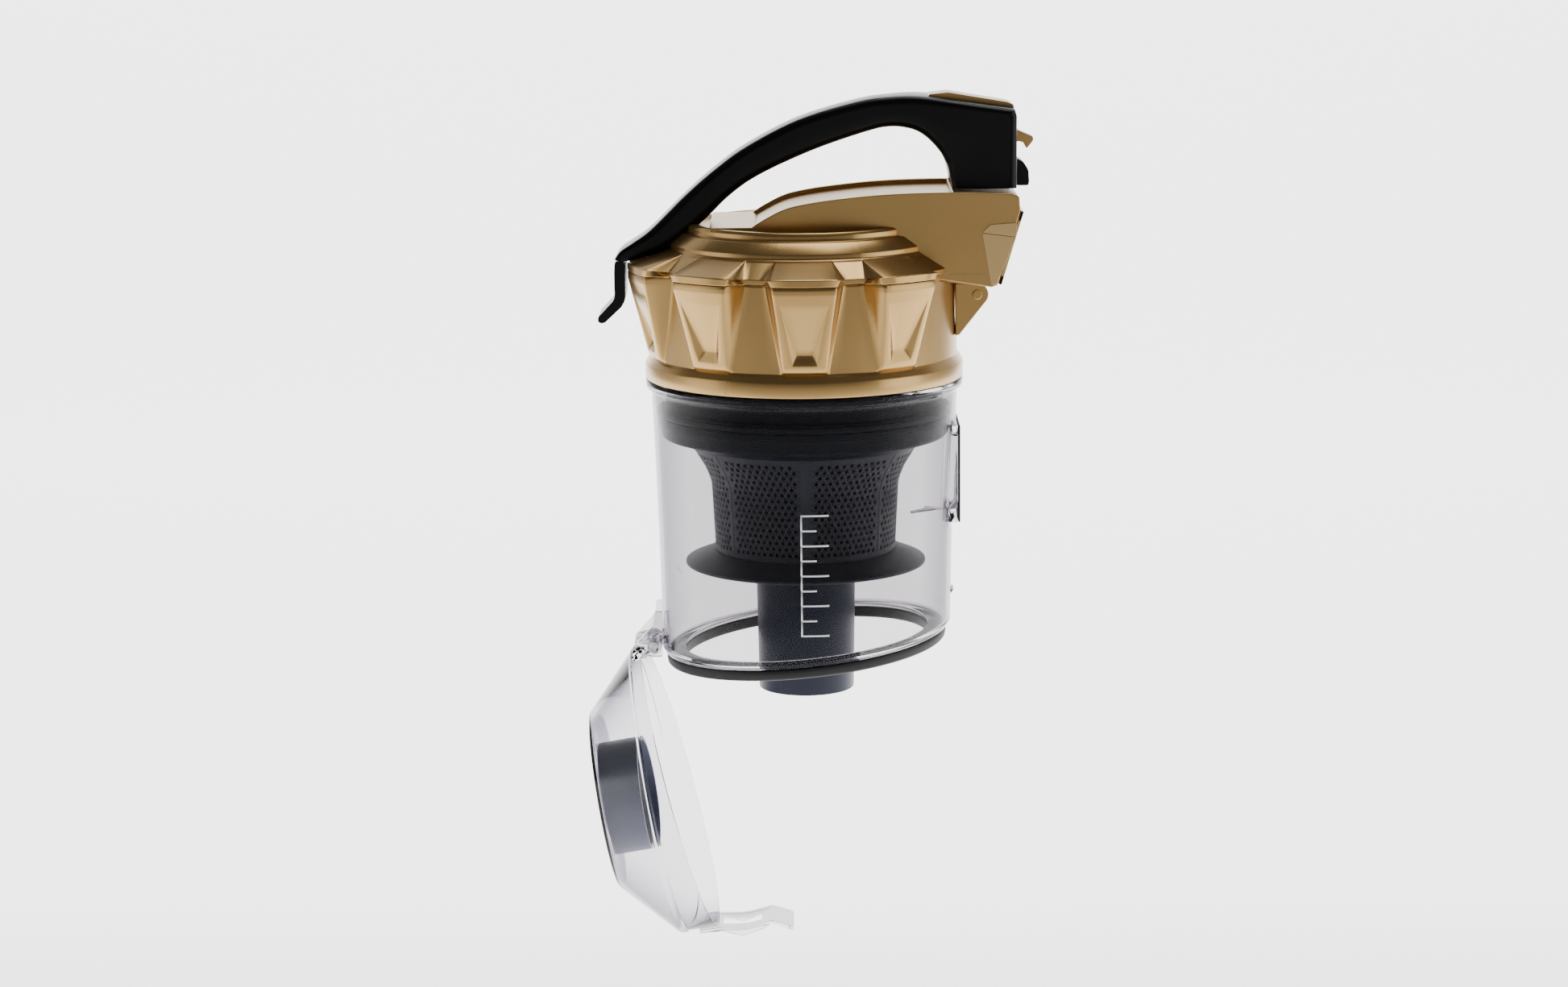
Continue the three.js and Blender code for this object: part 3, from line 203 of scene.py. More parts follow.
GOLD = moulded("gold_coat", (0.44, 0.27, 0.095), (0.50, 0.315, 0.115), (0.26, 0.32),
               metallic=0.92, grain=2600, coat=0.08, bump_mm=0.012, relief=0.1)
GOLD_INNER = moulded("gold_inner", (0.34, 0.23, 0.10), (0.40, 0.27, 0.12), (0.42, 0.5),
                     metallic=0.7, grain=1800)
GOLD_CLEAR = moulded("gold_insert", (0.60, 0.40, 0.17), (0.66, 0.45, 0.20), (0.24, 0.32),
                     metallic=0.75, grain=1600, coat=0.2, bump_mm=0.01)
BLACK = moulded("black_gloss", (0.0022, 0.0021, 0.0020), (0.0035, 0.0034, 0.0033), (0.26, 0.34),
                grain=1500, bump_mm=0.01, specular=0.18)
SLATE = moulded("slate_satin", (0.008, 0.011, 0.021), (0.012, 0.016, 0.029), (0.42, 0.50),
                grain=1400, bump_mm=0.01, specular=0.22, relief=0.02)
# A lighter copy of the slate, for the shroud and its skirt. On the skirt it is partly painted light: it stands in
# for the overhead lamp's light on the skirt's top.
SHROUD = moulded("slate_shroud", (0.045, 0.051, 0.072), (0.056, 0.063, 0.088), (0.42, 0.50),
                 grain=1400, bump_mm=0.01, specular=0.35, relief=0.02)
# near-black and almost without gloss: painted shade, for the sheet behind the shroud's holes
PAINTED_SHADE = moulded("shroud_painted_shade", (0.002, 0.002, 0.003), (0.003, 0.003, 0.004), (0.8, 0.9),
                 specular=0.05)
TUBE = moulded("slate_tube", (0.012, 0.016, 0.030), (0.018, 0.023, 0.042), (0.34, 0.42),
               grain=1000, bump_mm=0.01, specular=0.22, relief=0.02)
RUBBER = moulded("charcoal_seal", (0.010, 0.010, 0.0105), (0.017, 0.017, 0.017), (0.5, 0.65),
                 grain=1200, bump_mm=0.04, specular=0.3)
BLUE = moulded("blue_socket", (0.080, 0.088, 0.130), (0.100, 0.110, 0.160), (0.34, 0.44),
               grain=1200, bump_mm=0.01, specular=0.3, relief=0.02)
STEEL = moulded("zinc_steel", (0.50, 0.50, 0.51), (0.60, 0.60, 0.61), (0.22, 0.34),
                metallic=1.0, grain=700)
FOAM = moulded("filter_foam", (0.02, 0.02, 0.022), (0.05, 0.05, 0.055), (0.9, 1.0),
               grain=500, bump_mm=0.6)
SMOKE = clear("smoke_clear", (0.58, 0.565, 0.58), (0.10, 0.085, 0.13))
CLEAR = clear("door_clear", (0.80, 0.795, 0.82), (0.10, 0.085, 0.14))
WHITE = moulded("level_print", (0.80, 0.80, 0.80), (0.86, 0.86, 0.86), (0.45, 0.55))


# ------------------------------------------------------------------ mesh helpers
def finish_piece(name, body, replaced, material):
    obj = bpy.data.objects[name]
    obj.data.materials.clear()
    obj.data.materials.append(material)
    if replaced:
        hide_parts(*replaced)
    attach(obj, body)
    return obj


def object_from(name, bm, smooth_deg=32):
    """A new object from a bmesh in millimetres."""
    bmesh.ops.remove_doubles(bm, verts=bm.verts, dist=1e-4)
    bmesh.ops.recalc_face_normals(bm, faces=bm.faces)
    mesh = bpy.data.meshes.new(name)
    for vert in bm.verts:
        vert.co = ORIGIN + vert.co * MM
    bm.to_mesh(mesh)
    bm.free()
    mesh.shade_smooth()
    mesh.set_sharp_from_angle(angle=math.radians(smooth_deg))
    obj = bpy.data.objects.new(name, mesh)
    bpy.context.collection.objects.link(obj)
    return obj


def applied(obj):
    """Bakes the modifiers into the mesh."""
    graph = bpy.context.evaluated_depsgraph_get()
    mesh = bpy.data.meshes.new_from_object(obj.evaluated_get(graph))
    obj.modifiers.clear()
    obj.data = mesh
    return obj


def grid(bm, rows, wrap):
    """Faces between rows of points; wrap joins each row's end to its start."""
    verts = [[bm.verts.new(p) for p in row] for row in rows]
    count = len(verts[0])
    for low, high in zip(verts, verts[1:]):
        for i in range(count if wrap else count - 1):
            j = (i + 1) % count
            bm.faces.new((low[i], low[j], high[j], high[i]))
    return verts


def rounded(corners, radius, steps=3, closed=True):
    """Takes the corners of an outline down to small arcs."""
    out = []
    count = len(corners)
    for i, corner in enumerate(corners):
        here = Vector(corner)
        if not closed and i in (0, count - 1):
            out.append(here)
            continue
        to_last = Vector(corners[i - 1]) - here
        to_next = Vector(corners[(i + 1) % count]) - here
        cut = min(radius, to_last.length * 0.4, to_next.length * 0.4)
        start = here + to_last.normalized() * cut
        end = here + to_next.normalized() * cut
        for k in range(steps + 1):
            t = k / steps
            out.append((1 - t) ** 2 * start + 2 * t * (1 - t) * here + t * t * end)
    return out


def turned(name, profile, radius=0.5, facets=160, slant=None, smooth_deg=32):
    """A closed ring, or a dish if its ends lie on the axis, from (r, z) corners; slant(z) is the share
    of the foot's slope at a height."""
    dish = profile[0][0] == 0
    section = rounded(profile, radius, closed=not dish)
    bm = bmesh.new()
    rows = []
    for k in range(facets):
        a = 2 * math.pi * k / facets
        row = []
        for p in section:
            x, y = p.x * math.cos(a), p.x * math.sin(a)
            lift = math.tan(FOOT_SLANT) * x * slant(p.y) if slant else 0
            row.append((x, y, p.y + lift))
        rows.append(row)
    rows.append(rows[0])
    for a, b in zip(rows, rows[1:]):
        va = [bm.verts.new(p) for p in a]
        vb = [bm.verts.new(p) for p in b]
        for i in range(len(va) - 1 if dish else len(va)):
            j = (i + 1) % len(va)
            bm.faces.new((va[i], va[j], vb[j], vb[i]))
    return object_from(name, bm, smooth_deg)


def prism(name, outline, half, y=0.0, bevel=0.6, segments=3, angle=25):
    """A side outline of (x, z) corners with thickness along Y and bevelled edges."""
    bm = bmesh.new()
    near = [bm.verts.new((x, y - half, z)) for x, z in outline]
    far = [bm.verts.new((x, y + half, z)) for x, z in outline]
    bm.faces.new(near)
    bm.faces.new(list(reversed(far)))
    for i in range(len(near)):
        j = (i + 1) % len(near)
        bm.faces.new((near[j], near[i], far[i], far[j]))
    obj = object_from(name, bm, angle)
    if bevel:
        round_edges(obj, bevel, segments, angle)
    return obj


def thicken(obj, thickness):
    """Gives a sheet a wall, inward from its outer side."""
    modifier = obj.modifiers.new("wall", "SOLIDIFY")
    modifier.thickness = thickness * MM
    modifier.offset = -1
    applied(obj)


def round_edges(obj, width, segments=3, angle=25):
    modifier = obj.modifiers.new("edge", "BEVEL")
    modifier.width = width * MM
    modifier.segments = segments
    modifier.limit_method = "ANGLE"
    modifier.angle_limit = math.radians(angle)
    modifier.harden_normals = True
    applied(obj)


def boolean(obj, tool, operation="DIFFERENCE"):
    modifier = obj.modifiers.new("cut", "BOOLEAN")
    modifier.operation = operation
    modifier.solver = "EXACT"
    modifier.object = tool
    applied(obj)
    bpy.data.objects.remove(tool)


def box(name, x0, x1, y0, y1, z0, z1, bevel=0.0):
    bm = bmesh.new()
    bmesh.ops.create_cube(bm, size=1)
    for v in bm.verts:
        v.co = Vector((x0 + (v.co.x + 0.5) * (x1 - x0), y0 + (v.co.y + 0.5) * (y1 - y0),
                       z0 + (v.co.z + 0.5) * (z1 - z0)))
    obj = object_from(name, bm, 25)
    if bevel:
        round_edges(obj, bevel)
    return obj


def rod(name, x, z, radius, half, y=0.0, bevel=0.4, facets=40):
    turns = [2 * math.pi * k / facets for k in range(facets)]
    outline = [(x + radius * math.cos(a), z + radius * math.sin(a)) for a in turns]
    return prism(name, outline, half, y, bevel, 2, angle=40)


def joined(name, *parts):
    """One object from several."""
    bm = bmesh.new()
    for part in parts:
        bm.from_mesh(part.data)
        bpy.data.objects.remove(part)
    mesh = bpy.data.meshes.new(name)
    bm.to_mesh(mesh)
    bm.free()
    obj = bpy.data.objects.new(name, mesh)
    bpy.context.collection.objects.link(obj)
    return obj


def smooth_run(points, steps):
    """Catmull-Rom run through points of any dimension."""
    pts = [Vector(p) for p in points]
    pts = [2 * pts[0] - pts[1], *pts, 2 * pts[-1] - pts[-2]]
    out = []
    for i in range(1, len(pts) - 2):
        a, b, c, d = pts[i - 1:i + 3]
        for k in range(steps):
            t = k / steps
            out.append(0.5 * (2 * b + (c - a) * t + (2 * a - 5 * b + 4 * c - d) * t * t
                              + (3 * b - a - 3 * c + d) * t ** 3))
    out.append(pts[-2])
    return out


def lerp(a, b, t):
    return a + (b - a) * t


def ramp(value, start, end):
    return min(1.0, max(0.0, (value - start) / (end - start)))


# ------------------------------------------------------------------ gold housing with its lobes
FACE_HALF = (10.3, 7.2)       # degrees, half width of a lobe's outer face at its top and foot
BASE_HALF = (14.3, 9.2)       # the same where the flanks meet the wall
BAND_Z = SPLIT_Z - 3.4
LOBE_FOOT_Z = 12.0
LOBE_FOOT_R = 78.9
LOBE_FOOT_SOFT = 2.4          # height over which a lobe's foot runs out into the wall
TONGUE_TOP, TONGUE_FOOT, RECESS_FOOT = 43.5, 19.0, 14.0
RECESS_DEPTH = 3.0


def lobe_face_radius(z):
    if z >= BAND_Z:
        return LOBE_R
    if z >= LOBE_FOOT_Z:
        return lerp(LOBE_FOOT_R, LOBE_R, ramp(z, LOBE_FOOT_Z, BAND_Z))
    return lerp(wall_radius(z), LOBE_FOOT_R, math.sqrt(ramp(z, LOBE_FOOT_Z - LOBE_FOOT_SOFT, LOBE_FOOT_Z)))


RIM_ROWS = [(RIM_R - 0.9, -2.0), (RIM_R - 0.25, -1.75), (RIM_R, -1.2), (RIM_R, 2.0), (RIM_R, 5.2),
            (RIM_R - 0.15, 5.7), (RIM_R - 0.5, 6.2), (RIM_R - 1.4, 7.6), (RIM_R - 2.1, 8.6),
            (WALL_R + 0.35, 9.1), (WALL_R + 0.1, 9.5)]


def wall_radius(z):
    if z <= RIM_ROWS[-1][1]:
        for (r0, z0), (r1, z1) in zip(RIM_ROWS, RIM_ROWS[1:]):
            if z <= z1:
                return lerp(r0, r1, ramp(z, z0, z1))
    return lerp(WALL_R + 0.1, WALL_R - 0.8, ramp(z, 9.5, SPLIT_Z))


def lobe_columns(z, face_half, base_half):
    """Bearings across one lobe place and, for each, how much of the lobe and of the recess it has."""
    edge = 0.20
    mm_to_deg = math.degrees(1 / LOBE_R)
    inner = lerp(6.8, 12.2, ramp(z, RECESS_FOOT, TONGUE_TOP)) * mm_to_deg
    if z >= TONGUE_FOOT:
        tongue = lerp(4.3, 12.0, ramp(z, TONGUE_FOOT, TONGUE_TOP)) * mm_to_deg
        depth = RECESS_DEPTH * (1 - ramp(z, TONGUE_FOOT, TONGUE_TOP))
    else:
        tongue = lerp(6.6, 4.3, ramp(z, RECESS_FOOT, TONGUE_FOOT)) * mm_to_deg
        depth = RECESS_DEPTH * ramp(z, RECESS_FOOT, TONGUE_FOOT)
    soft = min(edge, (inner - tongue) / 4)
    half = [(0, 1, depth), (tongue * 0.5, 1, depth), (tongue - soft, 1, depth),
            (tongue + soft, 1, depth * 0.88), ((inner + tongue) / 2, 1, depth * 0.5),
            (inner - soft, 1, depth * 0.12), (inner + soft, 1, 0), ((inner + face_half) / 2, 1, 0),
            (face_half - edge, 1, 0), (face_half + edge, 0.95, 0),
            ((face_half + base_half) / 2, 0.5, 0), (base_half - edge, 0.04, 0),
            (base_half + edge, 0, 0), ((base_half + LOBE_STEP / 2) / 2, 0, 0), (LOBE_STEP / 2, 0, 0)]
    mirrored = [(-b, s, d) for b, s, d in reversed(half[1:])]
    return mirrored + half[:-1]


def housing_row(z):
    row = []
    face_half = lerp(FACE_HALF[1], FACE_HALF[0], ramp(z, LOBE_FOOT_Z, SPLIT_Z))
    base_half = lerp(BASE_HALF[1], BASE_HALF[0], ramp(z, LOBE_FOOT_Z, SPLIT_Z))
    top_edge = 0.35 * ramp(z, SPLIT_Z - 0.3, SPLIT_Z)
    wall = wall_radius(z)
    for number in range(LOBE_COUNT):
        raised = number in LOBED and z > LOBE_FOOT_Z - LOBE_FOOT_SOFT
        for bearing, share, depth in lobe_columns(z, face_half, base_half):
            r = lerp(wall, lobe_face_radius(z), share) - depth if raised else wall
            a = math.radians(number * LOBE_STEP + bearing)
            r -= top_edge
            row.append((r * math.sin(a), -r * math.cos(a), z))
    return row


housing_levels = [z for _, z in RIM_ROWS]
housing_levels += [9.7, 10.1, 10.6, 11.2, 12.0, 13.2, 13.8, 14.2, 16.5, 18.7, 19.3, 22, 26, 30, 34, 38,
                   41, 43.2, 43.8, 46, 48.6, 49.2, 49.6, 51, SPLIT_Z - 0.3, SPLIT_Z]
bm = bmesh.new()
grid(bm, [housing_row(z) for z in housing_levels], True)
housing = object_from("housing_shell", bm, 50)
thicken(housing, 1.8)
LID_PIN_X, LID_PIN_Z = joint_place("lid_hinge")
EAR_R = 5.6
SEAM_BEARING = -29            # degrees, of the moulding line on the rim


def ear_outline():
    points = [(WALL_R - 1.4, LID_PIN_Z - 20.4), (WALL_R + 0.5, LID_PIN_Z - 20.2)]
    for k in range(13):
        a = math.radians(-45 + 135 * k / 12)
        points.append((LID_PIN_X + EAR_R * math.cos(a), LID_PIN_Z + EAR_R * math.sin(a)))
    return points + [(WALL_R - 1.4, LID_PIN_Z + EAR_R)]


ears = [prism(f"ear_{i}", ear_outline(), 2, y, 0.5) for i, y in enumerate((-15, 15))]
housing = joined("cyclone_housing_visual", housing, *ears)
finish_piece(housing.name, "container", ["cyclone_housing"], GOLD)
seam = box("rim_parting_line", -0.12, 0.12, -RIM_R - 0.05, -RIM_R + 0.9, -1.0, 6.0)
for v in seam.data.vertices:
    v.co = ORIGIN + Matrix.Rotation(math.radians(SEAM_BEARING), 3, "Z") @ (v.co - ORIGIN)
finish_piece(seam.name, "container", [], GOLD_INNER)
pin = joined("lid_pin_visual", rod("pin_a", LID_PIN_X, LID_PIN_Z, 2.5, 17.8, 0, 0.6))
finish_piece(pin.name, "container", ["lid_hinge_pin"], GOLD)

# ------------------------------------------------------------------ gold lid crown
LID_FOOT = SPLIT_Z + 0.3
CROWN_STEPS = [0, 0.04, 0.2, 0.4, 0.6, 0.8, 0.94, 1.0]
CROWN_FACE_HALF = 11.4        # degrees, half width of a lobe where it runs out at the crown
CROWN_BASE_HALF = 11.9


def crown_row(kind, t):
    """One row of points round the lid's edge: its upright band, or the slope above it."""
    face_half = lerp(FACE_HALF[0], CROWN_FACE_HALF, t)
    base_half = lerp(BASE_HALF[0], CROWN_BASE_HALF, t)
    edge = min(0.2, (base_half - face_half) / 4)
    middle = LOBE_STEP / 2
    half = [(0, 1), (face_half * 0.5, 1), (face_half - edge, 1), (face_half + edge, 0.94),
            ((face_half + base_half) / 2, 0.5), (base_half - edge, 0.05), (base_half + edge, 0),
            ((base_half + middle) / 2, 0), (middle, 0)]
    columns = [(-b, s) for b, s in reversed(half[1:])] + half[:-1]
    if kind == "band":
        wall = (78.2, LID_FOOT + 2.0 * t)
        lobe = (LOBE_R, LID_FOOT + 3.2 * t)
    else:
        wall = (lerp(78.0, 68.2, t), lerp(55.3, 62.6, t))
        lobe = (lerp(87.7, 68.4, t), lerp(56.55, 62.9, t))
    row = []
    for number in range(LOBE_COUNT):
        for bearing, share in columns:
            s = share if number in LOBED else 0
            r, z = lerp(wall[0], lobe[0], s), lerp(wall[1], lobe[1], s)
            a = math.radians(number * LOBE_STEP + bearing)
            row.append((r * math.sin(a), -r * math.cos(a), z))
    return row


def ring_row(like, r, z):
    out = []
    for x, y, _ in like:
        length = math.hypot(x, y)
        out.append((x / length * r, y / length * r, z))
    return out


rows = [crown_row("band", t) for t in (0.0, 0.08, 0.9, 1.0)]
rows += [crown_row("slope", t) for t in CROWN_STEPS]
crown_profile = rounded([
    (68.0, 62.95), (67.0, 63.6), (66.7, 64.2), (66.7, 66.0), (61.0, 71.1), (58.9, 71.3), (58.3, 72.4),
    (58.3, 74.2), (57.2, 75.5), (54.6, 75.6), (53.0, 74.2), (52.4, 73.8), (30, 73.7), (2, 73.7)],
    0.35, 2, False)
rows += [ring_row(rows[-1], p.x, p.y) for p in crown_profile]
bm = bmesh.new()
grid(bm, rows, True)
DUCT_CUT_X = 6                # the crown is open under the duct behind this
for face in list(bm.faces):
    if all(v.co.x > DUCT_CUT_X and abs(v.co.y) < DUCT_HALF - 1 for v in face.verts):
        bm.faces.remove(face)
crown = object_from("crown", bm, 50)
thicken(crown, 1.6)

# ------------------------------------------------------------------ outlet duct
RIDGE = [(-25.3, 76.1), (-19.2, 79.9), (-10.5, 84.3), (-1.8, 86.8), (15.1, 89.4), (40.6, 91.7),
         (71.2, 92.4), (102.0, 91.5)]
ridge = [(p.x, p.y) for p in smooth_run(RIDGE, 5)]
DUCT_END, TIP_X, TIP_Z = 105.6, 93.6, 45.6
END_TOP = (DUCT_END + 0.4, 83.0)              # the duct's slanted end runs between these
END_FOOT = (TIP_X + 1.4, TIP_Z + 1.1)
side_outline = ridge + [(DUCT_END, 89.8), END_TOP, END_FOOT, (TIP_X - 1.4, TIP_Z), (67.3, 49.5),
                        (62, 54), (40, 60), (0, 68), (-20, 72)]
sides = [prism(f"duct_side_{i}", side_outline, 1.5, y, 0.55, 3, angle=20)
         for i, y in enumerate((-DUCT_HALF + 1.5, DUCT_HALF - 1.5))]
low_ridge = [(x, z - 2.3) for x, z in ridge if x < 70]
top_outline = ([(low_ridge[0][0] + 1.5, low_ridge[0][1])] + low_ridge[1:]
               + [(72.4, 90.1), (73.2, 92.3), (102, 91.3), (DUCT_END - 0.2, 89.6),
                  (DUCT_END - 0.1, 87.6)]
               + [(70, 87.9)] + [(x, z - 2.2) for x, z in reversed(low_ridge)])
top = prism("duct_top", top_outline, DUCT_HALF - 2.6, 0, 0.4, 2, angle=25)
plateau = prism("plateau", [(-46, 72), (-46, 75.4), (-45.2, 76.1), (-24.8, 76.1), (-22.5, 75.2),
                            (-22, 72)], DUCT_HALF, 0, 0.5)


def slant(u, w):
    """Point on the duct's slanted end: u out of the face, w up it from its middle."""
    mid = (Vector(END_TOP) + Vector(END_FOOT)) / 2
    tilt = math.atan2(END_TOP[0] - END_FOOT[0], END_TOP[1] - END_FOOT[1])
    return (mid.x + u * math.cos(tilt) + w * math.sin(tilt),
            mid.y - u * math.sin(tilt) + w * math.cos(tilt))


def slanted_bar(name, out, up, half, y, bevel):
    """A bar on the slanted end: out and up are its reach out of the face and along it."""
    (a, b), (c, d) = out, up
    return prism(name, [slant(a, c), slant(b, c), slant(b, d), slant(a, d)], half, y, bevel)


SLANT_HALF = math.hypot(DUCT_END - TIP_X - 1.0, END_TOP[1] - END_FOOT[1]) / 2
LIP_OUT, FRAME_OUT, BAR_WIDE = (-2, -0.05), (0.3, 1.9), 5
lips = [slanted_bar(f"duct_lip_{i}", LIP_OUT, up, DUCT_HALF - 1, 0, 0.2)
        for i, up in enumerate(((SLANT_HALF - BAR_WIDE, SLANT_HALF - 0.2),
                                (-SLANT_HALF + 0.2, -SLANT_HALF + BAR_WIDE)))]
under = prism("duct_under", [(88.5, 46.4), (92.4, 45.75), (94.4, 46.6), (94.6, 50.2), (92.6, 49.2),
                             (88.5, 48.6)], DUCT_HALF - 1, 0, 0.3)
lid_cover = joined("lid_cover_visual", crown, *sides, top, plateau, *lips, under)
finish_piece(lid_cover.name, "lid", ["lid_cover"], GOLD)

# lighter inserts at the outlet end of each side, with a crease across them
for i, sign in enumerate((-1, 1)):
    side = "near" if sign < 0 else "far"
    y = sign * (DUCT_HALF + 0.05)
    low = prism(f"insert_low_{i}", rounded(
        [(87.4, 72.4), (104.0, 70.2), (94.4, 47.2), (91.8, 46.6)], 1.0), 0.45, y, 0.15)
    high = prism(f"insert_high_{i}", rounded(
        [(87.5, 72.9), (91.3, 76.5), (104.2, 77.3), (104.2, 70.6)], 1.0), 0.6, y, 0.2)
    piece = joined(f"duct_insert_{side}", low, high)
    finish_piece(piece.name, "lid", [], GOLD_CLEAR)
    line = prism(f"duct_seam_{side}", [
        (71.6, 52.2), (89.7, 52.2), (89.7, 52.5), (78.9, 52.5), (78.9, 53.6), (78.6, 53.6),
        (78.6, 52.5), (71.6, 52.5)], 0.08, sign * (DUCT_HALF + 0.02), 0)
    finish_piece(line.name, "lid", [], GOLD_INNER)

frame_bars = [
    slanted_bar("seal_top", FRAME_OUT, (SLANT_HALF - BAR_WIDE, SLANT_HALF), DUCT_HALF - 1, 0, 0.3),
    slanted_bar("seal_foot", FRAME_OUT, (-SLANT_HALF + 0.5, -SLANT_HALF + BAR_WIDE), DUCT_HALF - 1, 0,
                0.3)]
frame_bars += [slanted_bar(f"seal_side_{i}", FRAME_OUT, (-SLANT_HALF + 0.5, SLANT_HALF), 2, y, 0.3)
               for i, y in enumerate((-DUCT_HALF + 3, DUCT_HALF - 3))]
outlet = joined("outlet_seal_visual", *frame_bars)
finish_piece(outlet.name, "lid", ["outlet_seal"], GOLD_CLEAR)

# ------------------------------------------------------------------ handle
HANDLE = [  # the under side and the outer side of the handle, from its front foot to its rear foot
    ((-89.0, 57.0), (-93.6, 58.2)), ((-85.6, 57.7), (-90.6, 62.2)), ((-79.0, 59.8), (-84.0, 66.6)),
    ((-67.4, 63.4), (-75.3, 72.9)), ((-50.0, 76.2), (-58.2, 89.6)), ((-36.5, 89.0), (-43.5, 102.2)),
    ((-21.6, 99.2), (-27.4, 113.6)), ((5.0, 111.2), (-2.0, 126.4)), ((31.8, 120.2), (27.0, 134.9)),
    ((43.7, 122.6), (43.5, 137.2)), ((54.0, 121.4), (58.0, 137.5)), ((61.0, 117.6), (75.0, 135.4)),
    ((67.3, 111.0), (92.0, 133.0)), ((70.0, 106.2), (104.2, 131.2)), ((71.2, 103.6), (105.2, 128.0)),
    ((72.6, 97.6), (105.2, 112.0)), ((73.2, 92.8), (105.2, 92.8))]
HANDLE_CORNER = 13            # the outer side runs straight from this pair on
HANDLE_LINE = 3.4             # depth of the joint line below the outer edge
HANDLE_STEPS = 6
REAR_HALF = 24.0              # half width at the rear foot


def handle_half(x):
    """Half width of the handle, which flares towards its rear foot."""
    t = ramp(x, 30, 92)
    return lerp(GRIP_HALF, REAR_HALF, t * t * (3 - 2 * t))


def handle_section(under, outer):
    """Rounded section between an under and an outer point, with a fine joint line near the outer edge."""
    under, outer = Vector((under[0], 0, under[1])), Vector((outer[0], 0, outer[1]))
    up = outer - under
    height = up.length
    up.normalize()
    low_soft = min(4.2, height * 0.3)
    line = min(HANDLE_LINE, height * 0.25)
    notch = min(0.35, height * 0.02)
    profile = [(low_soft * (1 - math.sin(a)), low_soft * (1 - math.cos(a)))
               for a in map(math.radians, (0, 22, 45, 68))]
    profile += [(0, low_soft), (0, height * 0.5), (0, height - line - 3 * notch),
                (0, height - line - notch), (1.2 * notch, height - line - notch / 2),
                (1.2 * notch, height - line + notch / 2), (0.3 * notch, height - line + notch)]
    profile += [(line * (1 - math.cos(a)), height - line * (1 - math.sin(a)))
                for a in map(math.radians, (25, 50, 70, 90))]
    right, left = [], []
    for inset, h in profile:
        point = under + up * h
        across = Vector((0, handle_half(point.x) - inset, 0))
        right.append(point + across)
        left.append(point - across)
    return right + left[::-1]


def handle_stations():
    """Pairs of under and outer points along the handle, smooth up to the corner at its rear."""
    unders = smooth_run([u for u, _ in HANDLE], HANDLE_STEPS)
    outers = smooth_run([o for _, o in HANDLE[:HANDLE_CORNER + 1]], HANDLE_STEPS)
    for (_, start), (_, end) in zip(HANDLE[HANDLE_CORNER:], HANDLE[HANDLE_CORNER + 1:]):
        outers += [Vector(start).lerp(Vector(end), k / HANDLE_STEPS)
                   for k in range(1, HANDLE_STEPS + 1)]
    return zip(unders, outers)


bm = bmesh.new()
rings = grid(bm, [handle_section(under, outer) for under, outer in handle_stations()], True)
bm.faces.new(list(reversed(rings[0])))
bm.faces.new(rings[-1])
handle = object_from("handle_visual", bm, 40)
finish_piece(handle.name, "lid", ["handle_shell", "grip_inlay"], BLACK)

lug = prism("rear_lug_visual", rounded([
    (105.5, 92.6), (111.6, 92.6), (112.2, 94.2), (111.8, 100.4), (109.2, 104.4), (105.5, 106.4)],
    1.2), 8, 0, 1.0)
finish_piece(lug.name, "lid", ["rear_lug"], BLACK)

tab = prism("latch_tab_visual", rounded([
    (-93.4, 57.4), (-93.9, 52), (-93.8, 39.8), (-94.6, 37.6), (-102.2, 29.6), (-102.4, 27.4),
    (-100.8, 26.4), (-98.8, 26.8), (-90.4, 34.6), (-88.8, 37.4), (-88.4, 40), (-88.4, 56.5),
    (-90, 57.4)], 1.2, 3), 14, 0, 1.4, 4)
finish_piece(tab.name, "lid_latch", ["lid_latch_tab"], BLACK)

button = prism("button_top", rounded([
    (62, 136.6), (62.6, 138.1), (72, 139.0), (101.2, 134.0), (104.4, 132.6), (104.4, 130.0),
    (100, 130.3)], 0.9), 9, 0, 1.0)
hook = prism("button_hook", rounded([
    (88, 132.5), (88, 117), (100, 112.6), (107, 114.2), (109.4, 113.6), (111, 110.4), (114.3, 114.4),
    (114.3, 116.4), (106, 120.0), (97, 119.6), (95, 132.5)], 0.6, 2), 5, 0, 0.5)
lever = joined("release_lever_visual", button, hook)
finish_piece(lever.name, "release_lever", ["release_lever"], GOLD)


# ------------------------------------------------------------------ clear cup
def cup_radius(z):
    rise = min(1.0, max(0.0, 1 + z / CUP_DROP))
    return CUP_FOOT_R + (CUP_TOP_R - CUP_FOOT_R) * rise ** 1.6


def foot_share(z):
    return ramp(-z, CUP_DROP - 22, CUP_DROP - 6)


levels = [-9, -22, -40, -60, -80, -100, -116, -124, -130]
cup_profile = [(RIM_R - 1.9, -2.3), (RIM_R - 0.1, -2.3), (RIM_R - 0.1, -6.0), (CUP_TOP_R + 0.5, -7.6)]
cup_profile += [(cup_radius(z), z) for z in levels]
cup_profile += [(CUP_FOOT_R, -133.0), (CUP_FOOT_R - 2.0, -136.5), (61.4, -136.5), (61.4, -134.5),
                (CUP_FOOT_R - 3.4, -134.3), (CUP_FOOT_R - 2.0, -132.0)]
cup_profile += [(cup_radius(z) - 2.0, z) for z in reversed(levels)]
cup_profile += [(CUP_TOP_R - 1.8, -5.2)]
cup = turned("cup_wall", cup_profile, 0.7, 192, foot_share, 40)
INLET_TOP, INLET_FOOT, INLET_HALF, INLET_FACE = -25.6, -25.6 - 48.8, 21.0, 77.4
PORT_MARGIN = 6
pad = box("inlet_pad", 70.5, INLET_FACE - 1.3, -INLET_HALF, INLET_HALF, INLET_FOOT, INLET_TOP)
keep_profile = [(1, 0)] + [(cup_radius(z) - 1.9, z) for z in (-20, -40, -60, -90)] + [(1, -90)]
keep = turned("keep_out", keep_profile, 0.01, 96)
boolean(pad, keep)
boolean(cup, pad, "UNION")
port = box("port", 55, 90, -INLET_HALF + PORT_MARGIN, INLET_HALF - PORT_MARGIN,
           INLET_FOOT + PORT_MARGIN, INLET_TOP - PORT_MARGIN)
boolean(cup, port)
catch_r = cup_radius(-113.6)
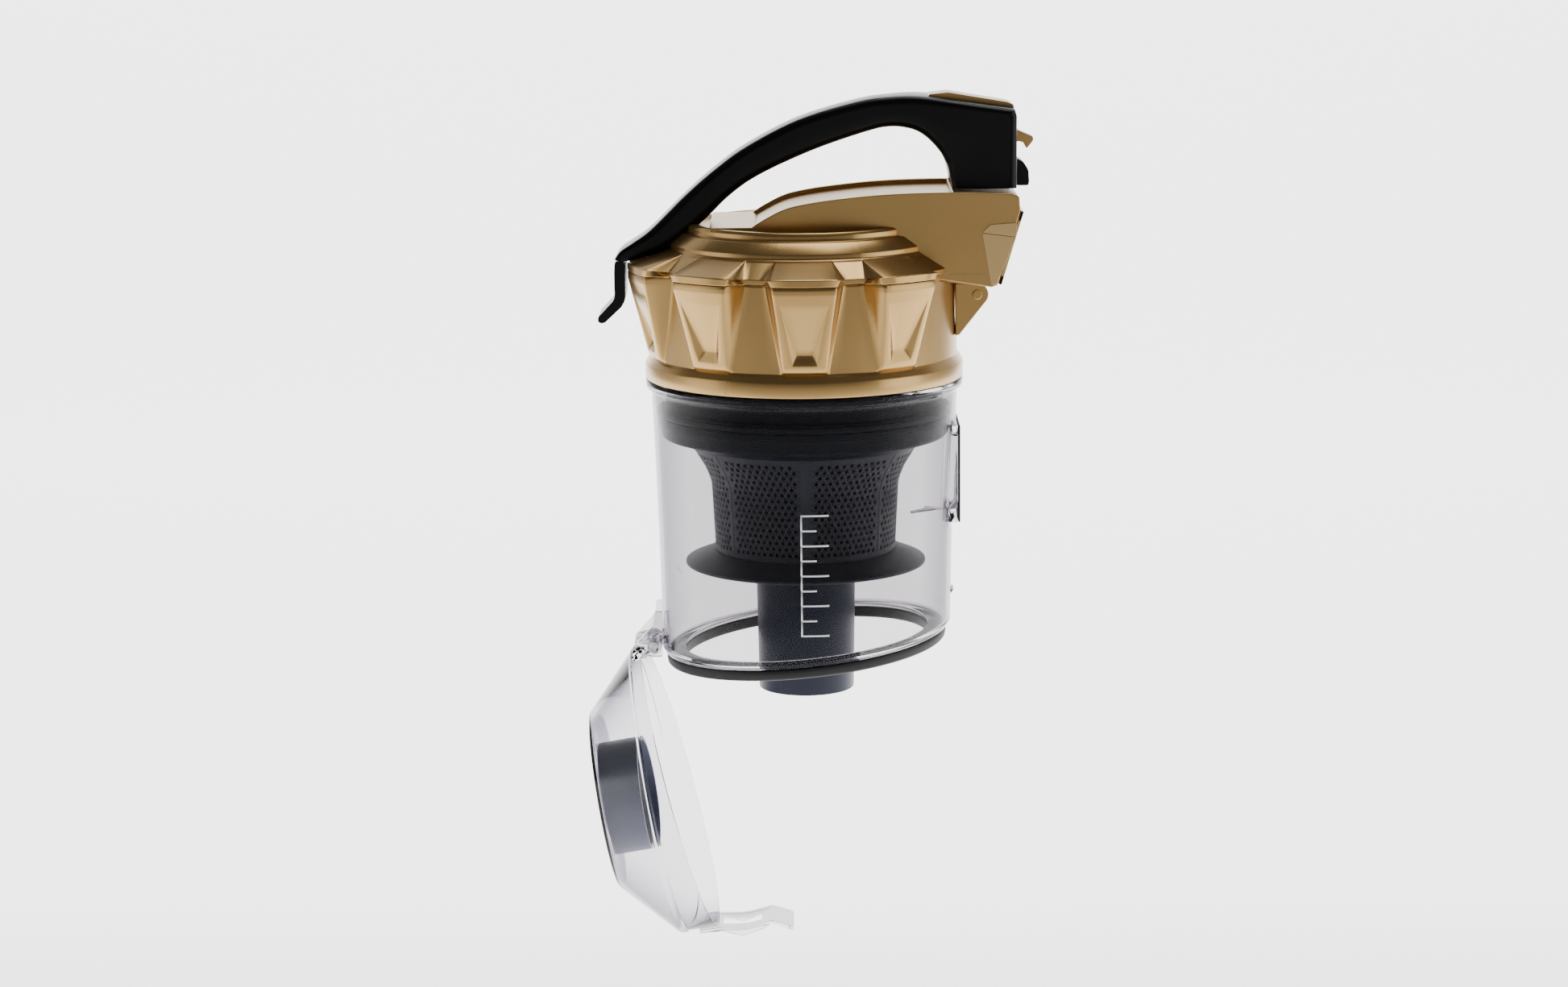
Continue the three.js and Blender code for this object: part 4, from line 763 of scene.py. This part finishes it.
nub = prism("nub", [(catch_r - 1, -116.0), (catch_r + 1.25, -112.8), (catch_r + 1.25, -111.4),
                    (catch_r - 1, -111.4)], 3.5, 0, 0.3)
PIN_X, PIN_Z = joint_place("door_hinge")
bracket = rounded([
    (-CUP_FOOT_R + 0.4, PIN_Z + 18.3), (-CUP_FOOT_R - 3.4, PIN_Z + 18.3),
    (-CUP_FOOT_R - 4.2, PIN_Z + 11.3), (PIN_X - 10.6, PIN_Z - 0.4), (PIN_X - 7, PIN_Z - 3.4),
    (PIN_X, PIN_Z - 4.8), (-CUP_FOOT_R + 0.4, PIN_Z - 4.8)], 0.9)
ears = [prism(f"cup_ear_{i}", bracket, 1.6, y, 0.35) for i, y in enumerate((-13.4, 13.4))]
for part in (nub, *ears):
    boolean(cup, part, "UNION")
cup.name = "dust_cup_visual"
finish_piece(cup.name, "container", ["dust_cup"], SMOKE)
pin = rod("door_pin_visual", PIN_X, PIN_Z, 2.85, 15.8, 0, 0.7)
finish_piece(pin.name, "container", ["door_hinge_pin"], CLEAR)

SEAL_WIDE, SEAL_LAP = 5.5, 5   # the upright bars run half a millimetre under the level ones
seal_places = [  # y and z limits of the four bars
    (-INLET_HALF, INLET_HALF, INLET_TOP - SEAL_WIDE, INLET_TOP),
    (-INLET_HALF, INLET_HALF, INLET_FOOT, INLET_FOOT + SEAL_WIDE),
    (-INLET_HALF, -INLET_HALF + SEAL_WIDE, INLET_FOOT + SEAL_LAP, INLET_TOP - SEAL_LAP),
    (INLET_HALF - SEAL_WIDE, INLET_HALF, INLET_FOOT + SEAL_LAP, INLET_TOP - SEAL_LAP)]
seal_bars = [box(f"s{i}", INLET_FACE - 1.0, INLET_FACE, *limits, 0.25)
             for i, limits in enumerate(seal_places)]
inlet_seal = joined("inlet_seal_visual", *seal_bars)
finish_piece(inlet_seal.name, "container", ["inlet_seal"], RUBBER)

# curved guide inside the inlet
GUIDE_STEPS = 24
GUIDE_START, GUIDE_SWEEP = 46, 42          # degrees round the cup
bm = bmesh.new()
rows = []
outer = cup_radius(-70) - 2.25
for k in range(GUIDE_STEPS + 1):
    t = k / GUIDE_STEPS
    b = math.radians(GUIDE_START + GUIDE_SWEEP * k / GUIDE_STEPS)
    wide = 1.2 + 11 * t ** 1.4
    z = -64 - 7.0 * t ** 1.6
    rows.append([(r * math.sin(b), -r * math.cos(b), zz) for r, zz in
                 ((outer, z), (outer, z + 0.8), (outer - wide, z + 1.2), (outer - wide, z + 0.4))])
rings = grid(bm, rows, True)
bm.faces.new(rings[0])
bm.faces.new(list(reversed(rings[-1])))
guide = object_from("inlet_guide_visual", bm, 50)
finish_piece(guide.name, "container", ["inlet_guide"], SMOKE)

gasket = turned("cup_gasket_visual", [
    (70.6, -136.8), (70.9, -138.6), (70.6, -141.2), (69.6, -142.2), (61.8, -142.2), (61.3, -141.2),
    (61.3, -136.8)], 0.6, 160, lambda z: 1.0)
finish_piece(gasket.name, "container", ["cup_gasket"], RUBBER)

PRINT_LIFT, PRINT_THICK = 0.12, 0.1


def printed(name, bm):
    """A white mark on the cup, from a bmesh of thin strokes."""
    mark = object_from(name, bm, 50)
    thicken(mark, PRINT_THICK)
    finish_piece(mark.name, "container", [], WHITE)


# level mark on the cup: a plain line with one short tick
bm = bmesh.new()
for z0, z1, b0, b1 in ((-95.3, -94.7, -62, -56), (-95.3, -92.0, -59.3, -58.9)):
    rows = []
    for z in (z0, z1):
        r = cup_radius(z) + PRINT_LIFT
        turns = [math.radians(lerp(b0, b1, k / 12)) for k in range(13)]
        rows.append([(r * math.sin(a), -r * math.cos(a), z) for a in turns])
    grid(bm, rows, False)
printed("level_mark", bm)


def cup_stroke(bm, across, z0, z1):
    """A printed stroke on the cup's near face, between two places across it and two heights."""
    rows = []
    for z in (z0, z1):
        r = cup_radius(z) + PRINT_LIFT
        steps = [lerp(*across, k / 6) / r for k in range(7)]
        rows.append([(r * math.sin(a), -r * math.cos(a), z) for a in steps])
    grid(bm, rows, False)


# a plain filling scale: one upright line with long and short ticks
bm = bmesh.new()
SCALE_TOP, SCALE_STEP, SCALE_TICKS = -60.0, 7.5, 9
STROKE_HALF = 0.45
for k in range(SCALE_TICKS):
    z = SCALE_TOP - k * SCALE_STEP
    cup_stroke(bm, (-2.0, 11.0 if k % 2 == 0 else 5.0), z - STROKE_HALF, z + STROKE_HALF)
for k in range(SCALE_TICKS - 1):
    z = SCALE_TOP - k * SCALE_STEP
    cup_stroke(bm, (-2.8, -2.0), z - SCALE_STEP - STROKE_HALF, z + STROKE_HALF)
printed("filling_scale", bm)

# ------------------------------------------------------------------ cyclone parts seen through the cup
base = turned("cyclone_base_visual", [
    (66.9, 1.0), (68.9, 1.0), (68.9, -15.6), (71.0, -16.3), (71.0, -20.3), (73.3, -20.6), (73.1, -24.6),
    (72.3, -25.0), (72.0, -30.2), (70.8, -31.6), (57.9, -35.8), (51.6, -35.8), (51.6, -33.6),
    (69.5, -29.2), (66.9, -19.5)], 0.5)
finish_piece(base.name, "container", ["cyclone_base"], SLATE)
step = turned("base_seal_visual", [(71.3, -16.6), (73.2, -16.6), (74.0, -17.4), (74.0, -19.2),
                                   (73.4, -20.0), (71.3, -20.0)], 0.4)
finish_piece(step.name, "container", ["base_seal"], SLATE)


def shroud_radius(z):
    if z > -47:
        return lerp(50.6, 57.4, ramp(z, -47, -36))
    if z > -57:
        return lerp(47.1, 50.6, ramp(z, -57, -47) ** 1.35)
    return lerp(45.4, 47.1, ramp(z, -90, -57))


HOLES_AROUND = 88
HOLE_ROWS = 16
HOLE_ROW_H = 3.05
HOLE_FIRST_Z = -40.2
HOLE_R = 1.12
HOLE_DEPTH = 1.4
HOLE_SIDES = 12
RIB_BEARINGS = (0, 52, 104, 180, 256, 308)    # degrees; the near rib, at 0, is the wide one


def on_shroud(bearing, z, inset=0.0):
    r = shroud_radius(z) - inset
    a = math.radians(bearing)
    return (r * math.sin(a), -r * math.cos(a), z)


def ribbed(bearing, step):
    """Whether a hole's place lies under one of the ribs."""
    return any(abs((bearing - rib + 180) % 360 - 180) < step * (1.25 if rib == 0 else 0.75)
               for rib in RIB_BEARINGS)


def perforated():
    """The shroud's outer skin with rows of round holes, staggered, and plain ribs between its panels."""
    bm = bmesh.new()
    step = 360 / HOLES_AROUND
    half_w = step / 2
    turns = [math.radians(30 * c) for c in range(HOLE_SIDES)]
    for row in range(HOLE_ROWS):
        zc = HOLE_FIRST_Z - row * HOLE_ROW_H
        shift = half_w if row % 2 else 0
        scale = math.degrees(1 / shroud_radius(zc))
        for k in range(HOLES_AROUND):
            bc = k * step + shift
            outer = []
            for a in turns:
                x = max(-1, min(1, math.cos(a) / math.cos(math.pi / 6)))
                y = max(-1, min(1, math.sin(a) * 1.2))
                outer.append(bm.verts.new(on_shroud(bc + half_w * x, zc + HOLE_ROW_H * 0.5 * y)))
            if ribbed(bc, step):
                bm.faces.new(outer)
                continue
            inner, deep = [[bm.verts.new(on_shroud(bc + HOLE_R * scale * math.cos(a),
                                                   zc + HOLE_R * math.sin(a), inset)) for a in turns]
                           for inset in (0.0, HOLE_DEPTH)]
            for c in range(HOLE_SIDES):
                d = (c + 1) % HOLE_SIDES
                bm.faces.new((outer[c], outer[d], inner[d], inner[c]))
                bm.faces.new((inner[c], inner[d], deep[d], deep[c]))
    return object_from("shroud_skin", bm, 30)


skin = perforated()
COLLAR_FOOT_Z, FOOT_RING_Z = -38.9, -87.2
collar_r = shroud_radius(COLLAR_FOOT_Z)
collar = turned("shroud_collar", [(57.4, -36), (collar_r, COLLAR_FOOT_Z), (collar_r - 1.6, COLLAR_FOOT_Z),
                                  (55.6, -36)], 0.2)
foot_ring = turned("shroud_foot", [(shroud_radius(FOOT_RING_Z) + 0.15, FOOT_RING_Z), (45.6, -90),
                                   (43.8, -90), (44, FOOT_RING_Z)], 0.2)
# A near-black sheet just inside the shroud's skin: painted shade, so that the holes show dark as the shade behind
# them would.
shade_sheet_levels = (-37.5, -44, -47, -52, -57, -88)
dark = turned("shroud_shade_sheet", [(shroud_radius(z) - 1.5, z) for z in shade_sheet_levels]
              + [(shroud_radius(z) - 2.4, z) for z in reversed(shade_sheet_levels)], 0.05)
ribs = []
for i, bearing in enumerate(RIB_BEARINGS):
    bm = bmesh.new()
    wide = 3.0 if bearing == 0 else 0.8
    rows = []
    for k in range(14):
        z = lerp(-37, -89, k / 13)
        w = wide * (lerp(0.8, 0.45, k / 13) if bearing == 0 else 1)
        r = shroud_radius(z)
        row = []
        for s, d in ((-w, -0.2), (-w, 0.12), (-w * 0.5, 0.3), (w * 0.5, 0.3), (w, 0.12), (w, -0.2)):
            a = math.radians(bearing) + s / r
            row.append(((r + d) * math.sin(a), -(r + d) * math.cos(a), z))
        rows.append(row)
    grid(bm, rows, False)
    ribs.append(object_from(f"rib_{i}", bm, 40))
shroud = joined("mesh_shroud_visual", skin, collar, foot_ring, *ribs)
finish_piece(shroud.name, "container", ["mesh_shroud"], SHROUD)
dark.name = "shroud_painted_shade_sheet"
finish_piece(dark.name, "container", [], PAINTED_SHADE)

# The skirt takes the lighter slate, partly as painted light for the overhead lamp on its top.
skirt = turned("shroud_skirt_visual", [(25.4, -90.3), (45.9, -90.3), (60.6, -95.9), (60.6, -97.2),
                                       (59.8, -97.4), (45.2, -92.2), (25.4, -92.2)], 0.4)
finish_piece(skirt.name, "container", ["shroud_skirt"], SHROUD)
tube = turned("dust_tube_visual", [(25.1, -54), (25.1, -98), (24.1, -162.4), (22.1, -162.4),
                                   (23.1, -98), (23.1, -54)], 0.5, 128)
finish_piece(tube.name, "container", ["dust_tube"], TUBE)

# ------------------------------------------------------------------ bottom door, shaped shut, then turned open
OPEN = door_turn()
RIM_PLANE = -139.3


def swung(obj):
    obj.data.transform(OPEN)
    return obj


def rim_share(z):
    return ramp(z, -152.3, RIM_PLANE - 1.0)


bowl_profile = [(0, -180.6), (22, -180.6), (45.8, -178.4), (73.3, -152.3), (74.1, -151.2),
                (74.1, -149.8), (73.3, -149.2), (73.3, RIM_PLANE), (71.6, RIM_PLANE),
                (71.4, -151.6), (44.8, -176.3), (21, -178.5), (0, -178.5)]
bowl = turned("bowl", bowl_profile, 0.5, 160, rim_share, 40)
KNUCKLE_R = 4.3
knuckle_points = [(-72.4, -151.6), (PIN_X - 3.2, PIN_Z - 9)]
knuckle_turns = [math.radians(180 - 15 * k) for k in range(13)]
knuckle_points += [(PIN_X + KNUCKLE_R * math.cos(a), PIN_Z + KNUCKLE_R * math.sin(a))
                   for a in knuckle_turns]
knuckle_points += [(PIN_X + 4.2, PIN_Z - 5), (-72.6, -146.5)]
knuckle = prism("knuckle", knuckle_points, 11.4, 0, 0.4)
wing_outline = rounded([(-71.8, -152.0), (-76.6, -147.0), (-77.6, -144.8), (-75.4, -143.0),
                        (-72.6, -142.6)], 0.6)
wing = [prism(f"wing_{i}", wing_outline, 1.4, y, 0.3) for i, y in enumerate((-10.2, 10.2))]
for part in (knuckle, *wing):
    boolean(bowl, part, "UNION")
bowl.name = "door_bowl_visual"
swung(bowl)
finish_piece(bowl.name, "bottom_door", ["door_bowl"], CLEAR)
socket = swung(turned("tube_socket_visual", [(29, -177.2), (29, -157.6), (26.9, -157.6), (26.9, -175),
                                             (16, -175.2), (16, -177.2)], 0.4, 128))
finish_piece(socket.name, "bottom_door", ["tube_socket"], BLUE)
seal = swung(turned("socket_seal_visual", [(26.4, -174.8), (26.4, -163.2), (20.4, -163.2),
                                           (20.4, -174.8)], 0.6, 96))
finish_piece(seal.name, "bottom_door", ["socket_seal"], BLUE)

arm_run = smooth_run([(73.6, -143.0), (74.2, -130.5), (75.3, -124.5), (75.9, -117.5), (75.3, -109.5),
                      (75.1, -105.0), (78.2, -98.5), (80.4, -94.8)], 4)
ARM_THICK = 1.9
outer = []
for i, p in enumerate(arm_run):
    along = arm_run[min(i + 1, len(arm_run) - 1)] - arm_run[max(i - 1, 0)]
    along.normalize()
    outer.append(Vector((p.x + along.y * ARM_THICK, p.y - along.x * ARM_THICK)))
outline = [(p.x, p.y) for p in arm_run] + [(p.x, p.y) for p in reversed(outer)]
arm = prism("arm", outline, 13.4, 0, 0.0)
boolean(arm, box("arm_window", 60, 100, -6.4, 6.4, -131, -110.8))
round_edges(arm, 0.35, 2, 35)
rib_outline = [(75.2, -142), (76.2, -131), (80.6, -121.6), (78.4, -110), (77.0, -106.8),
               (76.6, -112), (76.9, -120), (75.4, -131)]
ribs = [prism(f"arm_rib_{i}", rib_outline, 0.8, y, 0.25) for i, y in enumerate((-12.4, 12.4))]
arm = swung(joined("door_latch_arm_visual", arm, *ribs))
finish_piece(arm.name, "door_latch", ["door_latch_arm"], CLEAR)

# ------------------------------------------------------------------ nodes kept from the frame
kept = {
    "cone_cluster": SLATE, "vortex_finder_plate": SLATE, "plate_screw_1": STEEL, "plate_screw_2": STEEL,
    "plate_screw_3": STEEL, "duct_floor": GOLD, "lid_seal": RUBBER, "filter_frame": SLATE,
    "foam_filter": FOAM, "handle_screw_1": STEEL, "handle_screw_2": STEEL, "lever_pin": STEEL, "lever_spring": STEEL,
}
for name, material in kept.items():
    node = frame["nodes"][name]
    node.data.materials.clear()
    node.data.materials.append(material)
    for polygon in node.data.polygons:
        polygon.use_smooth = False

# ------------------------------------------------------------------ stage, light and camera
FLOOR_GAP = 0.03              # metres below the lowest point
floor_z = min(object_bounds()[0][2], cad_bounds[0][2]) - FLOOR_GAP
BACKDROP_GLOW = 3.6
SIDE_GLOW = 0.55
STAGE_REACH = 40.0            # metres each way, past every camera
BACKDROP_Y, BACKDROP_CURVE, BACKDROP_TOP = 1.6, 0.8, 3.2
WORLD_STRENGTH = 0.10


def stage_mesh():
    """A floor that curves up into a backdrop. Its glow is full behind the object and fades elsewhere."""
    bm = bmesh.new()
    run = [(-STAGE_REACH, 0.0), (BACKDROP_Y, 0.0)]
    run += [(BACKDROP_Y + BACKDROP_CURVE * math.sin(a), BACKDROP_CURVE - BACKDROP_CURVE * math.cos(a))
            for a in map(math.radians, range(9, 91, 9))]
    run.append((BACKDROP_Y + BACKDROP_CURVE, BACKDROP_TOP))
    grid(bm, [[(x, y, z) for x in (-STAGE_REACH, STAGE_REACH)] for y, z in run], False)
    mesh = bpy.data.meshes.new("stage_floor")
    for vert in bm.verts:
        vert.co.z += floor_z
    bmesh.ops.recalc_face_normals(bm, faces=bm.faces)
    bm.to_mesh(mesh)
    bm.free()
    mesh.shade_smooth()
    obj = bpy.data.objects.new("stage_floor", mesh)
    bpy.context.collection.objects.link(obj)
    material, nodes, links, shader = new_material("pale_stage")
    shader.inputs["Base Color"].default_value = (0.5, 0.5, 0.5, 1)
    shader.inputs["Roughness"].default_value = 0.9
    shader.inputs["Emission Color"].default_value = (1, 1, 1, 1)
    coords = nodes.new("ShaderNodeTexCoord")
    split = nodes.new("ShaderNodeSeparateXYZ")
    links.new(coords.outputs["Object"], split.inputs["Vector"])
    across = nodes.new("ShaderNodeMath")
    across.operation = "ABSOLUTE"
    links.new(split.outputs["X"], across.inputs[0])
    behind = spread(nodes, links, split.outputs["Y"], 0, 1, -0.7, 0.15)
    middle_share = spread(nodes, links, across.outputs["Value"], 1, 0, 1.0, 1.8)
    low_share = spread(nodes, links, split.outputs["Z"], 1, 0, 0.05, 0.8)
    for share in (middle_share, low_share):
        product = nodes.new("ShaderNodeMath")
        product.operation = "MULTIPLY"
        links.new(behind, product.inputs[0])
        links.new(share, product.inputs[1])
        behind = product.outputs["Value"]
    glow = spread(nodes, links, behind, SIDE_GLOW, BACKDROP_GLOW, 0, 1)
    links.new(glow, shader.inputs["Emission Strength"])
    obj.data.materials.append(material)


stage_mesh()

world = bpy.data.worlds.new("studio")
bpy.context.scene.world = world
world.use_nodes = True
background = world.node_tree.nodes["Background"]
background.inputs["Color"].default_value = (1, 1, 1, 1)
background.inputs["Strength"].default_value = WORLD_STRENGTH


def area_light(name, at, target, size, watts, tall=None):
    data = bpy.data.lights.new(name, "AREA")
    data.shape = "RECTANGLE"
    data.size = size
    data.size_y = tall or size
    data.energy = watts
    obj = bpy.data.objects.new(name, data)
    bpy.context.collection.objects.link(obj)
    obj.location = at
    obj.rotation_euler = (Vector(target) - Vector(at)).to_track_quat("-Z", "Y").to_euler()


middle = place(0, 0, 0)
area_light("key_left", middle + Vector((-1.7, -0.35, 0.1)), middle, 1.0, 7, 1.8)
area_light("key_right", middle + Vector((1.7, -0.5, 0.15)), middle, 1.1, 14, 1.8)
area_light("overhead", middle + Vector((0.2, 0.4, 1.6)), middle, 0.9, 12)

PITCH, ROLL = 0.1887, 0.0095  # radians
LENS, SENSOR = 81.4, 36
CAMERA_PLACE = (-7.5, -1760, 273.1)
camera_data = bpy.data.cameras.new("view")
camera_data.sensor_width = SENSOR
camera_data.lens = LENS
camera = bpy.data.objects.new("view", camera_data)
bpy.context.collection.objects.link(camera)
camera.matrix_world = (Matrix.Translation(place(*CAMERA_PLACE)) @ Matrix.Rotation(ROLL, 4, "Y")
                       @ Matrix.Rotation(math.pi / 2 - PITCH, 4, "X"))
bpy.context.scene.camera = camera
